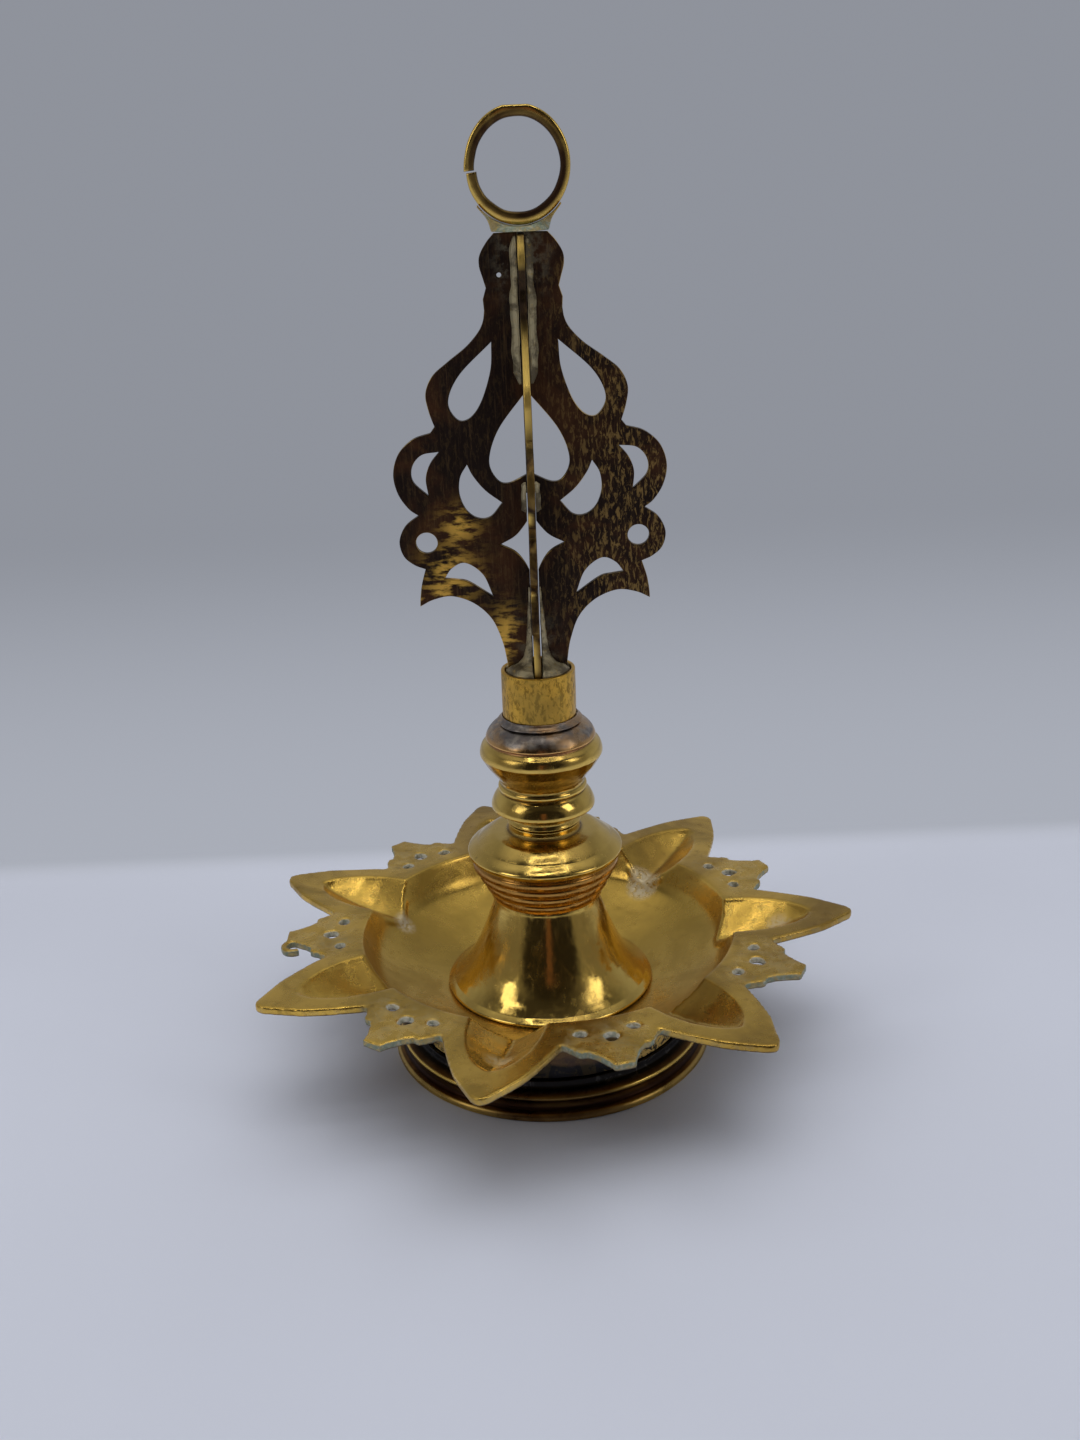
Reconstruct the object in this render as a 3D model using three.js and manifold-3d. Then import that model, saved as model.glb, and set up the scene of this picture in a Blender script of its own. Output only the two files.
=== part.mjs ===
// Brass sabbath lamp: a star-shaped oil pan on a drum foot, a turned stem, an openwork shaft made of two
// crossed pierced plates, and a hanging ring. Millimetres, +Z up. The origin is the middle of the foot's
// underside, and the ring's flat side faces -Y.
import * as THREE from "three";
import { mergeVertices } from "three/addons/utils/BufferGeometryUtils.js";
import Module from "manifold-3d";

const wasm = await Module();
wasm.setup();

// Clearances
const solderGap = 0.3; // between two pieces that are soldered or clamped face to face
const boreClearance = 0.3; // between the tie rod and each bore that it passes through

// Foot ring and drum
const footRadius = 52.6;
const footHeight = 11;
const footHemWidth = 5;
const footBeadHeight = 2.6;
const upperBeadDrop = 2; // the upper bead stands in this much from the foot's edge
const drumStep = 7.1; // the drum stands in this much from the foot's edge
const drumWall = 1.6;

// Oil pan
const rimTop = 41; // height of the star's flat top above the ground
const rimThickness = 2.8;
const castWall = 2.4;
const dishRadius = 61;
const dishDepth = 19.5;
const dishWallHeight = 9.5;
const dishWallLean = 4; // the wall's foot stands in this much from the rim's edge
const spoutCount = 7;
const firstSpoutAngle = 206.46; // degrees from +X
const spoutReach = 100.3;
const spoutChannelEnd = 86.2;
const chuteLipRadius = 54.2;
const chuteLipDepth = 9.4;
const chuteHalfWidth = 11.4;
const chuteWall = 1.6;
const crestReach = 85.9;

// Stem, from the pan up
const brimRadius = 33.8;
const seatMargin = 0.2; // the dish's flat middle is this much wider than the brim that stands on it
const trumpetHeight = 31.2;
const trumpetNeckRadius = 16.6;
const trumpetWall = 2;
const trumpetWeb = 3.7;
const spacerRadii = [18.2, 19.6, 21.6, 23.6];
const spacerRingHeight = 2.6;
const spacerGrooveHeight = 0.9;
const spacerGrooveDepth = 1;
const bellRadius = 24.8;
const bellHeight = 11.2;
const bellNeckRadius = 11.6;
const knopHeight = 34.2;
const lowerRollRadius = 16.6;
const upperRollRadius = 19.4;
const knopNeckRadius = 13.4;
const collarRadius = 11.5;
const collarWall = 1.2;
const collarHeight = 16.4;

// Openwork shaft
const plateThickness = 2.1;
const plateHeight = 129; // above the collar's top edge
const plateReach = 40.4; // from the axis to the outermost loop
const plateFootHalfWidth = 9.2;
const eyeHoleRadius = 3.2;
const neckFilletLeg = 1.7;
const waistFilletLeg = 1.4;
const collarPlugDepth = 6;

// Hanging ring and its saddle
const ringHalfWidth = 14.65;
const ringHalfHeight = 15.9;
const ringTopFlat = 0.5; // the hammered flat takes this much off the ring's top
const ringSideThickness = 2.85;
const ringEndThickness = 3.5;
const ringDepth = 4;
const ringEdgeRound = 0.5;
const saddleThickness = 1.15;
const saddleHalfWidth = 8;
const saddleArmReach = 11;
const saddleDepth = 6;
const scarfSlit = 0.4;

// Clamp inside the stem
const rodRadius = 3;
const rodHeadRadius = 6;
const rodHeadHeight = 4;
const rodEnd = 0; // the rod is left long, its end level with the foot's underside
const washerRadius = 9;
const washerThickness = 1.2;
const nutAcrossFlats = 11;
const nutHeight = 5;

// Facets
const turnedSegments = 48;
const stemSegments = 36;
const smallSegments = 24;
const curveSteps = 2;
const tiny = 1e-4;

// Heights of the joints, from the ground up
const drumRadius = footRadius - drumStep;
const dishSeatRadius = brimRadius + seatMargin;
const dishFloor = rimTop - dishDepth;
const dishWallFoot = rimTop - dishWallHeight;
const dishUnderside = dishFloor - castWall;
const dishWallFootRadius = dishRadius - dishWallLean;
const trumpetBase = dishFloor + solderGap;
const spacerBase = trumpetBase + trumpetHeight + solderGap;
const spacerPitch = spacerRingHeight + spacerGrooveHeight;
const spacerHeight = spacerRadii.length * spacerPitch;
const bellBase = spacerBase + spacerHeight + solderGap;
const knopBase = bellBase + bellHeight + solderGap;
const knopTop = knopBase + knopHeight;
const collarBase = knopTop + solderGap;
const collarTop = collarBase + collarHeight;
const plateTop = collarTop + plateHeight;
const saddleBase = plateTop + solderGap;
const ringCentre = saddleBase + saddleThickness + solderGap + ringHalfHeight;
const boreRadius = rodRadius + boreClearance;
const drumInnerRadius = drumRadius - drumWall;
const plateHalf = plateThickness / 2;
const slotHalf = plateHalf + solderGap;

// Finishes
const polishedBrass = new THREE.MeshStandardMaterial({ color: 0xb8923a, roughness: 0.28, metalness: 1 });
const castBrass = new THREE.MeshStandardMaterial({ color: 0xa98a3f, roughness: 0.42, metalness: 1 });
const tarnishedBrass = new THREE.MeshStandardMaterial({ color: 0x4a3319, roughness: 0.5, metalness: 0.9 });
const copperBrass = new THREE.MeshStandardMaterial({ color: 0xa2622d, roughness: 0.32, metalness: 1 });
const darkDrum = new THREE.MeshStandardMaterial({ color: 0x2a2118, roughness: 0.55, metalness: 0.8 });
const solder = new THREE.MeshStandardMaterial({ color: 0x8c8a74, roughness: 0.6, metalness: 0.7 });

const lamp = new THREE.Group();

// A closed solid for cutting and joining, from any closed geometry.
function solid(geometry) {
  const bare = geometry.index ? geometry.toNonIndexed() : geometry.clone();
  bare.deleteAttribute("normal");
  bare.deleteAttribute("uv");
  const merged = mergeVertices(bare, tiny);
  const mesh = new wasm.Mesh({
    numProp: 3,
    vertProperties: Float32Array.from(merged.attributes.position.array),
    triVerts: Uint32Array.from(merged.index.array),
  });
  mesh.merge();
  return new wasm.Manifold(mesh);
}

function addPiece(name, material, body) {
  const mesh = body.getMesh();
  const geometry = new THREE.BufferGeometry();
  geometry.setAttribute("position", new THREE.BufferAttribute(mesh.vertProperties, 3));
  geometry.setIndex(new THREE.BufferAttribute(mesh.triVerts, 1));
  geometry.computeVertexNormals();
  const piece = new THREE.Mesh(geometry, material);
  piece.name = name;
  lamp.add(piece);
}

// Turned body from a profile of [radius, height] points or a path, run anticlockwise: out along the
// bottom, up the outside, in along the top and down the inside or the axis.
function turned(profile, base = 0, segments = turnedSegments) {
  const points = Array.isArray(profile) ? profile.map(([r, z]) => new THREE.Vector2(r, z)) : profile;
  const closed = [...points];
  const startsOnAxis = points[0].x < tiny;
  const meetsItself = points[0].distanceTo(points[points.length - 1]) < tiny;
  if (!startsOnAxis && !meetsItself) closed.push(points[0].clone());
  const geometry = new THREE.LatheGeometry(closed, segments);
  geometry.rotateX(Math.PI / 2);
  geometry.translate(0, 0, base);
  return solid(geometry);
}

function pathPoints(start, draw, steps = curveSteps) {
  const path = new THREE.Path();
  path.moveTo(...start);
  draw(path);
  return path.getPoints(steps);
}

function spline(path, points) {
  path.splineThru(points.map(([x, y]) => new THREE.Vector2(x, y)));
}

// Flat shape extruded up from a height.
function extrudedUp(shape, base, height) {
  const geometry = new THREE.ExtrudeGeometry(shape, { depth: height, bevelEnabled: false });
  geometry.translate(0, 0, base);
  return solid(geometry);
}

function box(x0, x1, y0, y1, z0, z1) {
  const geometry = new THREE.BoxGeometry(x1 - x0, y1 - y0, z1 - z0);
  geometry.translate((x0 + x1) / 2, (y0 + y1) / 2, (z0 + z1) / 2);
  return solid(geometry);
}

function radians(degrees) {
  return (degrees * Math.PI) / 180;
}

// Foot ring: hem and bead at the ground, a hollow band, an upper bead, and a ledge for the drum.
function footRing() {
  const band = footRadius - upperBeadDrop - 1;
  const beadEdge = footRadius - upperBeadDrop;
  const ledge = drumRadius + 0.9;
  return turned(
    pathPoints([footRadius - footHemWidth, 0], (p) => {
      p.lineTo(footRadius - 0.6, 0);
      p.quadraticCurveTo(footRadius + 0.2, footBeadHeight / 2, footRadius - 0.7, footBeadHeight);
      p.quadraticCurveTo(band, footBeadHeight + 0.4, band, footBeadHeight + 2.2);
      p.quadraticCurveTo(beadEdge + 0.8, footHeight - 4.6, beadEdge - 1, footHeight - 3.1);
      p.lineTo(beadEdge - 2.4, footHeight - 2.5);
      p.quadraticCurveTo(ledge, footHeight - 2.2, ledge, footHeight);
      p.lineTo(drumInnerRadius, footHeight);
      p.lineTo(drumInnerRadius, footHeight - 3);
      p.quadraticCurveTo(drumInnerRadius, footHeight / 2.5, footRadius - footHemWidth, 0);
    }),
  );
}
addPiece("foot_ring", polishedBrass, footRing());

// Underside of the dish between its flat middle and its wall.
function undersideAt(radius) {
  const share = (radius - dishSeatRadius) / (dishWallFootRadius - dishSeatRadius);
  return dishFloor + (dishWallFoot - dishFloor) * Math.max(0, share) - castWall;
}

function baseDrum() {
  return turned([
    [drumInnerRadius, footHeight + solderGap],
    [drumRadius, footHeight + solderGap],
    [drumRadius, undersideAt(drumRadius) - solderGap],
    [drumInnerRadius, undersideAt(drumInnerRadius) - solderGap],
  ]);
}
addPiece("base_drum", darkDrum, baseDrum());

// Fillet of solder between the drum and the pan.
function drumSeam() {
  const inner = drumRadius + solderGap;
  const outer = inner + 1.6;
  return turned([
    [inner, undersideAt(inner) - solderGap - 1.6],
    [outer, undersideAt(outer) - solderGap - 0.2],
    [outer, undersideAt(outer) - solderGap],
    [inner, undersideAt(inner) - solderGap],
  ]);
}
addPiece("drum_seam", solder, drumSeam());

// Half outline of one spout, from its tip to the valley beside it: [along, across] the spout's own line.
const spoutSide = [
  [spoutReach, 0],
  [spoutReach - 0.7, 1.7],
  [spoutReach - 2.8, 3.7],
  [spoutReach - 6.8, 6.7],
  [spoutReach - 11.3, 9.9],
  [spoutReach - 16.3, 12.4],
  [spoutReach - 21.3, 14.6],
  [spoutReach - 26.3, 16.6],
  [spoutReach - 29.7, 17.8],
];

// A point of a crest: its distance in from the tip, and across. The crests' pattern was drawn for a crest
// that stands 24.9 mm out from the dish, and stretches with it.
function onCrest(inFromTip, across) {
  return [crestReach - (inFromTip * (crestReach - dishRadius)) / 24.9, across];
}

// Half outline of one crest, from the valley to its squared tip.
const crestSide = [
  onCrest(14.7, 14.4),
  onCrest(12.9, 13.2),
  onCrest(11.3, 11.8),
  onCrest(9.6, 11),
  onCrest(8.7, 9.4),
  onCrest(9, 8.2),
  onCrest(7.3, 6.9),
  onCrest(4.9, 5.4),
  onCrest(2.4, 4),
  onCrest(0, 3.1),
];

function placed([along, across], angle) {
  const cos = Math.cos(angle);
  const sin = Math.sin(angle);
  return new THREE.Vector2(along * cos - across * sin, along * sin + across * cos);
}

function mirrored(points) {
  return points.map(([along, across]) => [along, -across]).reverse();
}

const halfPitch = Math.PI / spoutCount;
const spoutAngles = Array.from(
  { length: spoutCount },
  (_, k) => radians(firstSpoutAngle) + 2 * k * halfPitch,
);

function starShape() {
  const outline = [];
  for (const angle of spoutAngles) {
    const spout = [...mirrored(spoutSide), ...spoutSide.slice(1)];
    const crest = [...mirrored(crestSide).reverse(), ...[...crestSide].reverse()];
    outline.push(...spout.map((point) => placed(point, angle)));
    outline.push(...crest.map((point) => placed(point, angle + halfPitch)));
  }
  return new THREE.Shape(outline);
}

// Three piercings at the foot of a crest: a pointed one in the middle, a rounder one at each side.
const crestPiercings = [
  [onCrest(11.9, -1), onCrest(12.6, 1.3), onCrest(15, 2.6), onCrest(17, 1), onCrest(15.8, -1.9)],
  [onCrest(16.4, 7.2), onCrest(16.9, 9.6), onCrest(18.7, 10), onCrest(19.8, 8), onCrest(18.7, 6)],
  [onCrest(16.9, -6.1), onCrest(16.4, -8.4), onCrest(18.3, -10.2), onCrest(19.8, -8.6), onCrest(19.2, -6.3)],
];

// A trough along +X: leaf-shaped at the rim's height, V-shaped across, deepening towards the dish.
// grow widens it all round; innerEnd is the radius of its inner end, which leans down into the dish.
function trough(grow, innerEnd, leanToRim) {
  const leaf = [
    [spoutChannelEnd, 0.7, 0.4],
    [spoutChannelEnd - 2, 3.7, 2],
    [spoutChannelEnd - 5.6, 6.5, 3.5],
    [spoutChannelEnd - 11, 9.2, 5.3],
    [spoutChannelEnd - 18, 10.9, 7.3],
    [dishRadius + 1, chuteHalfWidth, 8.4],
  ];
  const acrossSteps = 6;
  const rings = [];
  const section = (along, half, depth, lean) => {
    const ring = [new THREE.Vector3(along + lean, -half, rimTop + (grow > 0 ? -0.2 : 2))];
    for (let i = 0; i <= acrossSteps; i += 1) {
      const share = (2 * i) / acrossSteps - 1;
      const drop = 1 - Math.abs(share) ** 1.5;
      ring.push(new THREE.Vector3(along + lean * (1 - drop), share * half, rimTop - 0.4 - depth * drop));
    }
    ring.push(new THREE.Vector3(along + lean, half, rimTop + (grow > 0 ? -0.2 : 2)));
    return ring;
  };
  for (const [index, [along, half, depth]] of leaf.entries()) {
    const end = index === 0 ? grow : 0;
    rings.push(section(along + end, half + grow, depth + grow, 0));
  }
  rings.push(section(innerEnd, chuteHalfWidth + grow, chuteLipDepth + grow, leanToRim));
  return loft(rings);
}

// Closed skin through rings of points, each with the same count, capped at both ends.
function loft(rings) {
  const count = rings[0].length;
  const positions = rings.flat().flatMap((v) => [v.x, v.y, v.z]);
  const index = [];
  for (let k = 0; k + 1 < rings.length; k += 1) {
    for (let i = 0; i < count; i += 1) {
      const a = k * count + i;
      const b = k * count + ((i + 1) % count);
      index.push(a, a + count, b, b, a + count, b + count);
    }
  }
  const last = (rings.length - 1) * count;
  const cap = THREE.ShapeUtils.triangulateShape(rings[1].map((v) => new THREE.Vector2(v.y, v.z)), []);
  for (const [a, b, c] of cap) {
    index.push(a, b, c);
    index.push(last + a, last + c, last + b);
  }
  const geometry = new THREE.BufferGeometry();
  geometry.setAttribute("position", new THREE.Float32BufferAttribute(positions, 3));
  geometry.setIndex(index);
  return solid(geometry);
}

function starPan() {
  const dishInside = turned([
    [0, dishFloor],
    [dishSeatRadius, dishFloor],
    [dishWallFootRadius - 2, dishWallFoot - 0.9],
    [dishWallFootRadius + 0.5, dishWallFoot + 1.4],
    [dishRadius, rimTop],
    [dishRadius, rimTop + 2],
    [0, rimTop + 2],
  ]);
  const dishOutside = turned([
    [0, dishUnderside],
    [dishSeatRadius, dishUnderside],
    [dishWallFootRadius - 1, undersideAt(dishWallFootRadius - 1)],
    [dishWallFootRadius + castWall, dishWallFoot - 0.4],
    [dishRadius + castWall, rimTop - rimThickness],
    [dishRadius + castWall, rimTop - 0.5],
    [0, rimTop - 0.5],
  ]);
  const star = extrudedUp(starShape(), rimTop - rimThickness, rimThickness);
  let body = star.add(dishOutside).subtract(dishInside);
  const lean = dishRadius - chuteLipRadius;
  const hull = trough(chuteWall, chuteLipRadius, lean);
  const channel = trough(0, chuteLipRadius - 3, lean);
  const turn = (angle) => [0, 0, THREE.MathUtils.radToDeg(angle)];
  for (const angle of spoutAngles) body = body.add(hull.rotate(turn(angle)));
  for (const angle of spoutAngles) body = body.subtract(channel.rotate(turn(angle)));
  for (const angle of spoutAngles) {
    for (const piercing of crestPiercings) {
      const hole = new THREE.Shape(piercing.map((point) => placed(point, angle + halfPitch)));
      body = body.subtract(extrudedUp(hole, rimTop - rimThickness - 1, rimThickness + 2));
    }
  }
  const rodHole = turned(
    [
      [0, dishUnderside - 1],
      [boreRadius, dishUnderside - 1],
      [boreRadius, dishFloor + 1],
      [0, dishFloor + 1],
    ],
    0,
    smallSegments,
  );
  return body.subtract(rodHole);
}
addPiece("star_pan", castBrass, starPan());

// Flared foot of the stem: a beaded brim that stands in the dish, and a web that the tie rod holds down.
function trumpetFoot() {
  const webUnderside = trumpetHeight - trumpetWeb;
  return turned(
    pathPoints([brimRadius - 3.8, 0], (p) => {
      p.lineTo(brimRadius - 0.6, 0);
      p.quadraticCurveTo(brimRadius + 0.5, 1, brimRadius - 0.9, 2.1);
      p.lineTo(brimRadius - 2.8, 2.6);
      spline(p, [
        [brimRadius - 8.8, 8.6],
        [trumpetNeckRadius + 4.4, 17.8],
        [trumpetNeckRadius, trumpetHeight],
      ]);
      p.lineTo(boreRadius, trumpetHeight);
      p.lineTo(boreRadius, webUnderside);
      p.lineTo(trumpetNeckRadius - trumpetWall, webUnderside);
      spline(p, [
        [trumpetNeckRadius + 3.6 - trumpetWall, 15.6],
        [brimRadius - 3.8, 0],
      ]);
    }),
    trumpetBase,
  );
}
addPiece("trumpet_foot", polishedBrass, trumpetFoot());

// Stack of rings under the bell, each wider than the one below, with a groove over each.
function steppedSpacer() {
  const profile = [[boreRadius, 0]];
  const chamfer = 0.4;
  for (const [k, radius] of spacerRadii.entries()) {
    const foot = k * spacerPitch;
    const head = foot + spacerRingHeight;
    profile.push([radius - chamfer, foot], [radius, foot + chamfer], [radius, head]);
    profile.push([radius - spacerGrooveDepth, head + spacerGrooveHeight / 2]);
  }
  const topRadius = spacerRadii[spacerRadii.length - 1] - spacerGrooveDepth;
  profile.push([topRadius, spacerHeight], [boreRadius, spacerHeight]);
  return turned(profile, spacerBase, stemSegments);
}
addPiece("stepped_spacer", copperBrass, steppedSpacer());

// Bell over the dish: a disc edge, a step, a dome and an upright neck.
function dripBell() {
  return turned(
    pathPoints([boreRadius, 0], (p) => {
      p.lineTo(bellRadius - 2.2, 0);
      p.lineTo(bellRadius - 0.4, 0.6);
      p.lineTo(bellRadius, 1.2);
      p.lineTo(bellRadius, 2.6);
      p.quadraticCurveTo(bellRadius - 0.6, 4, bellRadius - 3.2, 4.8);
      p.lineTo(bellRadius - 3.4, 5.5);
      p.quadraticCurveTo(bellRadius - 5.4, 7.4, bellNeckRadius + 0.6, 8);
      p.lineTo(bellNeckRadius, 8.5);
      p.lineTo(bellNeckRadius, bellHeight - 0.6);
      p.lineTo(bellNeckRadius - 0.4, bellHeight);
      p.lineTo(boreRadius, bellHeight);
    }),
    bellBase,
    stemSegments,
  );
}
addPiece("drip_bell", polishedBrass, dripBell());

// Turned knop: lower roll, beaded neck, upper roll, a groove and a shoulder, hollowed for the rod's head.
function upperKnop() {
  const headSeat = knopHeight - rodHeadHeight - solderGap;
  return turned(
    pathPoints([boreRadius, 0], (p) => {
      p.lineTo(bellNeckRadius, 0);
      p.lineTo(bellNeckRadius + 0.3, 0.7);
      p.lineTo(bellNeckRadius - 0.4, 1.5);
      p.lineTo(bellNeckRadius, 3.2);
      p.lineTo(lowerRollRadius - 0.7, 4.7);
      spline(p, [
        [lowerRollRadius, 5.4],
        [lowerRollRadius - 0.8, 8],
        [knopNeckRadius, 11.1],
      ]);
      p.quadraticCurveTo(knopNeckRadius + 1.1, 12.1, knopNeckRadius, 13.1);
      spline(p, [
        [knopNeckRadius + 0.4, 14.9],
        [upperRollRadius - 3.8, 17.6],
        [upperRollRadius - 0.3, 22.8],
      ]);
      p.lineTo(upperRollRadius, 23.4);
      spline(p, [
        [upperRollRadius - 0.6, 25.6],
        [upperRollRadius - 2.2, 27.5],
      ]);
      p.lineTo(upperRollRadius - 2, 28.1);
      p.quadraticCurveTo(upperRollRadius - 2.6, 32.2, collarRadius + 1.8, knopHeight - 0.7);
      p.lineTo(collarRadius, knopHeight);
      p.lineTo(rodHeadRadius + boreClearance, knopHeight);
      p.lineTo(rodHeadRadius + boreClearance, headSeat);
      p.lineTo(boreRadius, headSeat);
    }),
    knopBase,
    stemSegments,
  );
}
addPiece("upper_knop", polishedBrass, upperKnop());

function collarTube() {
  return turned([
    [collarRadius - collarWall, collarBase],
    [collarRadius, collarBase],
    [collarRadius, collarTop - 0.3],
    [collarRadius - 0.3, collarTop],
    [collarRadius - collarWall, collarTop],
  ], 0, stemSegments);
}
addPiece("collar_tube", castBrass, collarTube());

// Fillet of solder round the collar's foot, on the knop's sloping shoulder.
function collarSeam() {
  const inner = collarRadius + solderGap;
  return turned([
    [inner, collarBase],
    [inner + 1.5, collarBase - 0.5],
    [inner + 1.6, collarBase - 0.2],
    [inner + 0.5, collarBase + 0.5],
    [inner, collarBase + 1.7],
  ], 0, stemSegments);
}
addPiece("collar_seam", solder, collarSeam());

// The plates' pattern was drawn for a plate 40.4 mm in reach and 129 mm tall, and stretches with the plate.
const wide = plateReach / 40.4;
const tall = plateHeight / 129;

// A point of the pattern: across from the axis, and height over the collar's top.
function at(across, height) {
  return [across * wide, height * tall];
}

function through(path, points) {
  spline(path, points.map(([across, height]) => at(across, height)));
}

// Right half of a plate's outline, from its foot up to its top.
function halfPlatePoints() {
  return pathPoints([plateFootHalfWidth, -collarHeight], (p) => {
    p.lineTo(plateFootHalfWidth, 2);
    through(p, [[10.4, 9], [13.2, 16.4], [18.4, 21.6], [25, 24.2], [34.9, 21.4]]);
    p.lineTo(...at(34.6, 25));
    p.lineTo(...at(32.6, 33));
    through(p, [[35.8, 34.4], [38.8, 37.2], [39.8, 41.8], [37.7, 46.3], [33.6, 49.4]]);
    through(p, [[38.3, 54], [40.4, 61.6], [37.2, 69.8], [28.6, 73.6]]);
    p.lineTo(...at(27.2, 75.5));
    through(p, [[28.7, 80.4], [28.9, 87.6], [22.6, 93.8], [15.4, 99.4], [11.5, 107.5]]);
    p.lineTo(...at(11.5, 111));
    p.lineTo(...at(10.4, 113.8));
    through(p, [[11.6, 117], [12.2, 120.5], [11.7, 124], [7.6, 129]]);
  });
}

// Piercings of the right half, each a closed loop.
function halfPiercings() {
  const loop = (start, ...stretches) => pathPoints(at(...start), (p) => {
    for (const stretch of stretches) through(p, stretch);
  });
  const teardrop = loop(
    [9.6, 99.2],
    [[10.2, 91.2], [13.2, 82.4], [16.8, 77.7], [20.4, 77.3], [22.9, 82.4], [19.4, 90], [9.6, 99.2]],
  );
  const comma = loop(
    [18.4, 64.1],
    [[20.6, 60.4], [21.1, 55.3], [19.3, 50.5], [16, 47.9], [12.2, 48.2], [8.5, 52.3]],
    [[13.4, 56.2], [16.8, 60.6], [18.4, 64.1]],
  );
  const loopCrescent = loop(
    [26.3, 68.2],
    [[31.6, 67.4], [34.6, 64], [34.6, 59.6], [30.3, 55.1]],
    [[30.8, 60.4], [29.3, 64.6], [26.3, 68.2]],
  );
  const lowCrescent = loop(
    [12.5, 23.5],
    [[15.4, 30.6], [20.5, 34.4], [24.6, 33], [27.1, 29.8]],
    [[23.4, 29.3], [19.7, 28.4], [12.5, 23.5]],
  );
  const eye = new THREE.Path();
  eye.absarc(...at(31.7, 41), eyeHoleRadius, 0, 2 * Math.PI);
  return [teardrop, comma, loopCrescent, lowCrescent, eye.getPoints(6)];
}

// Piercings on the axis: a heart with its point up, and a diamond under it.
const heartTip = 85;
const heartCleft = 61;
const diamondTop = 48.6;
const diamondFoot = 28;

function axisPiercings() {
  const heartSide = pathPoints(at(0, heartTip), (p) => {
    through(p, [[8.7, 74], [11.8, 65], [10, 59.6], [6.5, 58.1], [0, heartCleft]]);
  });
  const diamondSide = pathPoints(at(0, diamondTop), (p) => {
    p.quadraticCurveTo(...at(3.8, 43.4), ...at(9.7, 39.6));
    p.quadraticCurveTo(...at(4.2, 35), ...at(0, diamondFoot));
  });
  return [heartSide, diamondSide].map((side) => [...side, ...reflected(side).slice(1, -1)]);
}

function reflected(points) {
  return points.map((v) => new THREE.Vector2(-v.x, v.y)).reverse();
}

// Whole plate standing in the XZ plane, its heights counted from the ground.
function piercedPlate() {
  const right = halfPlatePoints();
  const outline = new THREE.Shape([...right, ...reflected(right)]);
  for (const piercing of halfPiercings()) {
    outline.holes.push(new THREE.Path(piercing), new THREE.Path(reflected(piercing)));
  }
  for (const piercing of axisPiercings()) outline.holes.push(new THREE.Path(piercing));
  const geometry = new THREE.ExtrudeGeometry(outline, { depth: plateThickness, bevelEnabled: false });
  geometry.translate(0, 0, -plateHalf);
  geometry.rotateX(Math.PI / 2);
  geometry.translate(0, 0, collarTop);
  const past = plateReach + 1;
  return solid(geometry).intersect(box(-past, past, -past, past, collarBase, plateTop + 1));
}

// The plates cross by halving slots: the side plate is open below, the front plate above.
const crossing = collarTop + ((heartCleft + diamondTop) / 2) * tall;
const lowerSlots = box(-slotHalf, slotHalf, -slotHalf, slotHalf, collarBase - 1, crossing + solderGap);
const upperSlots = box(-slotHalf, slotHalf, -slotHalf, slotHalf, crossing, plateTop + 2);
addPiece("side_plate", tarnishedBrass, piercedPlate().subtract(lowerSlots));
addPiece("front_plate", tarnishedBrass, piercedPlate().subtract(upperSlots).rotate([0, 0, 90]));

// Solder in the four corners between the plates, along a stretch of solid plate.
function cornerFillet(base, height, leg) {
  const shape = new THREE.Shape();
  shape.moveTo(slotHalf, slotHalf);
  shape.lineTo(slotHalf + leg, slotHalf);
  shape.quadraticCurveTo(slotHalf + leg / 5, slotHalf + leg / 5, slotHalf, slotHalf + leg);
  const geometry = new THREE.ExtrudeGeometry(shape, { depth: height, bevelEnabled: false, curveSegments: 3 });
  geometry.translate(0, 0, base);
  return solid(geometry);
}

const cornerNames = ["back_right", "back_left", "front_left", "front_right"];
const neckSolderBase = collarTop + (heartTip + 2) * tall;
const neckSolderHeight = plateTop - 1 - neckSolderBase;
const waistSolderBase = collarTop + (diamondTop + 0.6) * tall;
const waistSolderHeight = (heartCleft - diamondTop - 3.2) * tall;

// Solder at the shaft's foot: a mound that plugs a quarter of the collar and runs up the corner.
function collarMound() {
  const plugRadius = collarRadius - collarWall - solderGap;
  const mound = turned(
    [
      [0, -collarPlugDepth],
      [plugRadius, -collarPlugDepth],
      [plugRadius, 0.2],
      [8.6, 1.4],
      [6.2, 2.3],
      [4.6, 4.2],
      [3.7, 8],
      [3.1, 16],
      [2.5, (diamondFoot - 1.4) * tall],
      [0, (diamondFoot - 1.4) * tall],
    ],
    collarTop,
    smallSegments,
  );
  const past = collarRadius;
  const quarter = box(slotHalf, past, slotHalf, past, collarTop - collarPlugDepth - 1, plateTop);
  return mound.intersect(quarter);
}

for (const [k, corner] of cornerNames.entries()) {
  const turn = [0, 0, 90 * k];
  const waist = cornerFillet(waistSolderBase, waistSolderHeight, waistFilletLeg);
  const neck = cornerFillet(neckSolderBase, neckSolderHeight, neckFilletLeg);
  addPiece(`collar_solder_${corner}`, solder, collarMound().rotate(turn));
  addPiece(`waist_solder_${corner}`, solder, waist.rotate(turn));
  addPiece(`neck_solder_${corner}`, solder, neck.rotate(turn));
}

// Oval in the XZ plane round the ring's centre.
function ovalPoints(halfWidth, halfHeight, topCut) {
  const oval = new THREE.Path();
  oval.absellipse(0, 0, halfWidth, halfHeight, 0, 2 * Math.PI);
  const top = halfHeight - topCut;
  return oval.getPoints(stemSegments / 2).map((v) => new THREE.Vector2(v.x, Math.min(v.y, top)));
}

function upright(shape, depth, round) {
  const geometry = new THREE.ExtrudeGeometry(shape, {
    depth: depth - 2 * round,
    bevelEnabled: round > 0,
    bevelSize: round,
    bevelOffset: -round,
    bevelThickness: round,
    bevelSegments: 1,
  });
  geometry.translate(0, 0, round - depth / 2);
  geometry.rotateX(Math.PI / 2);
  return geometry;
}

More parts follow.
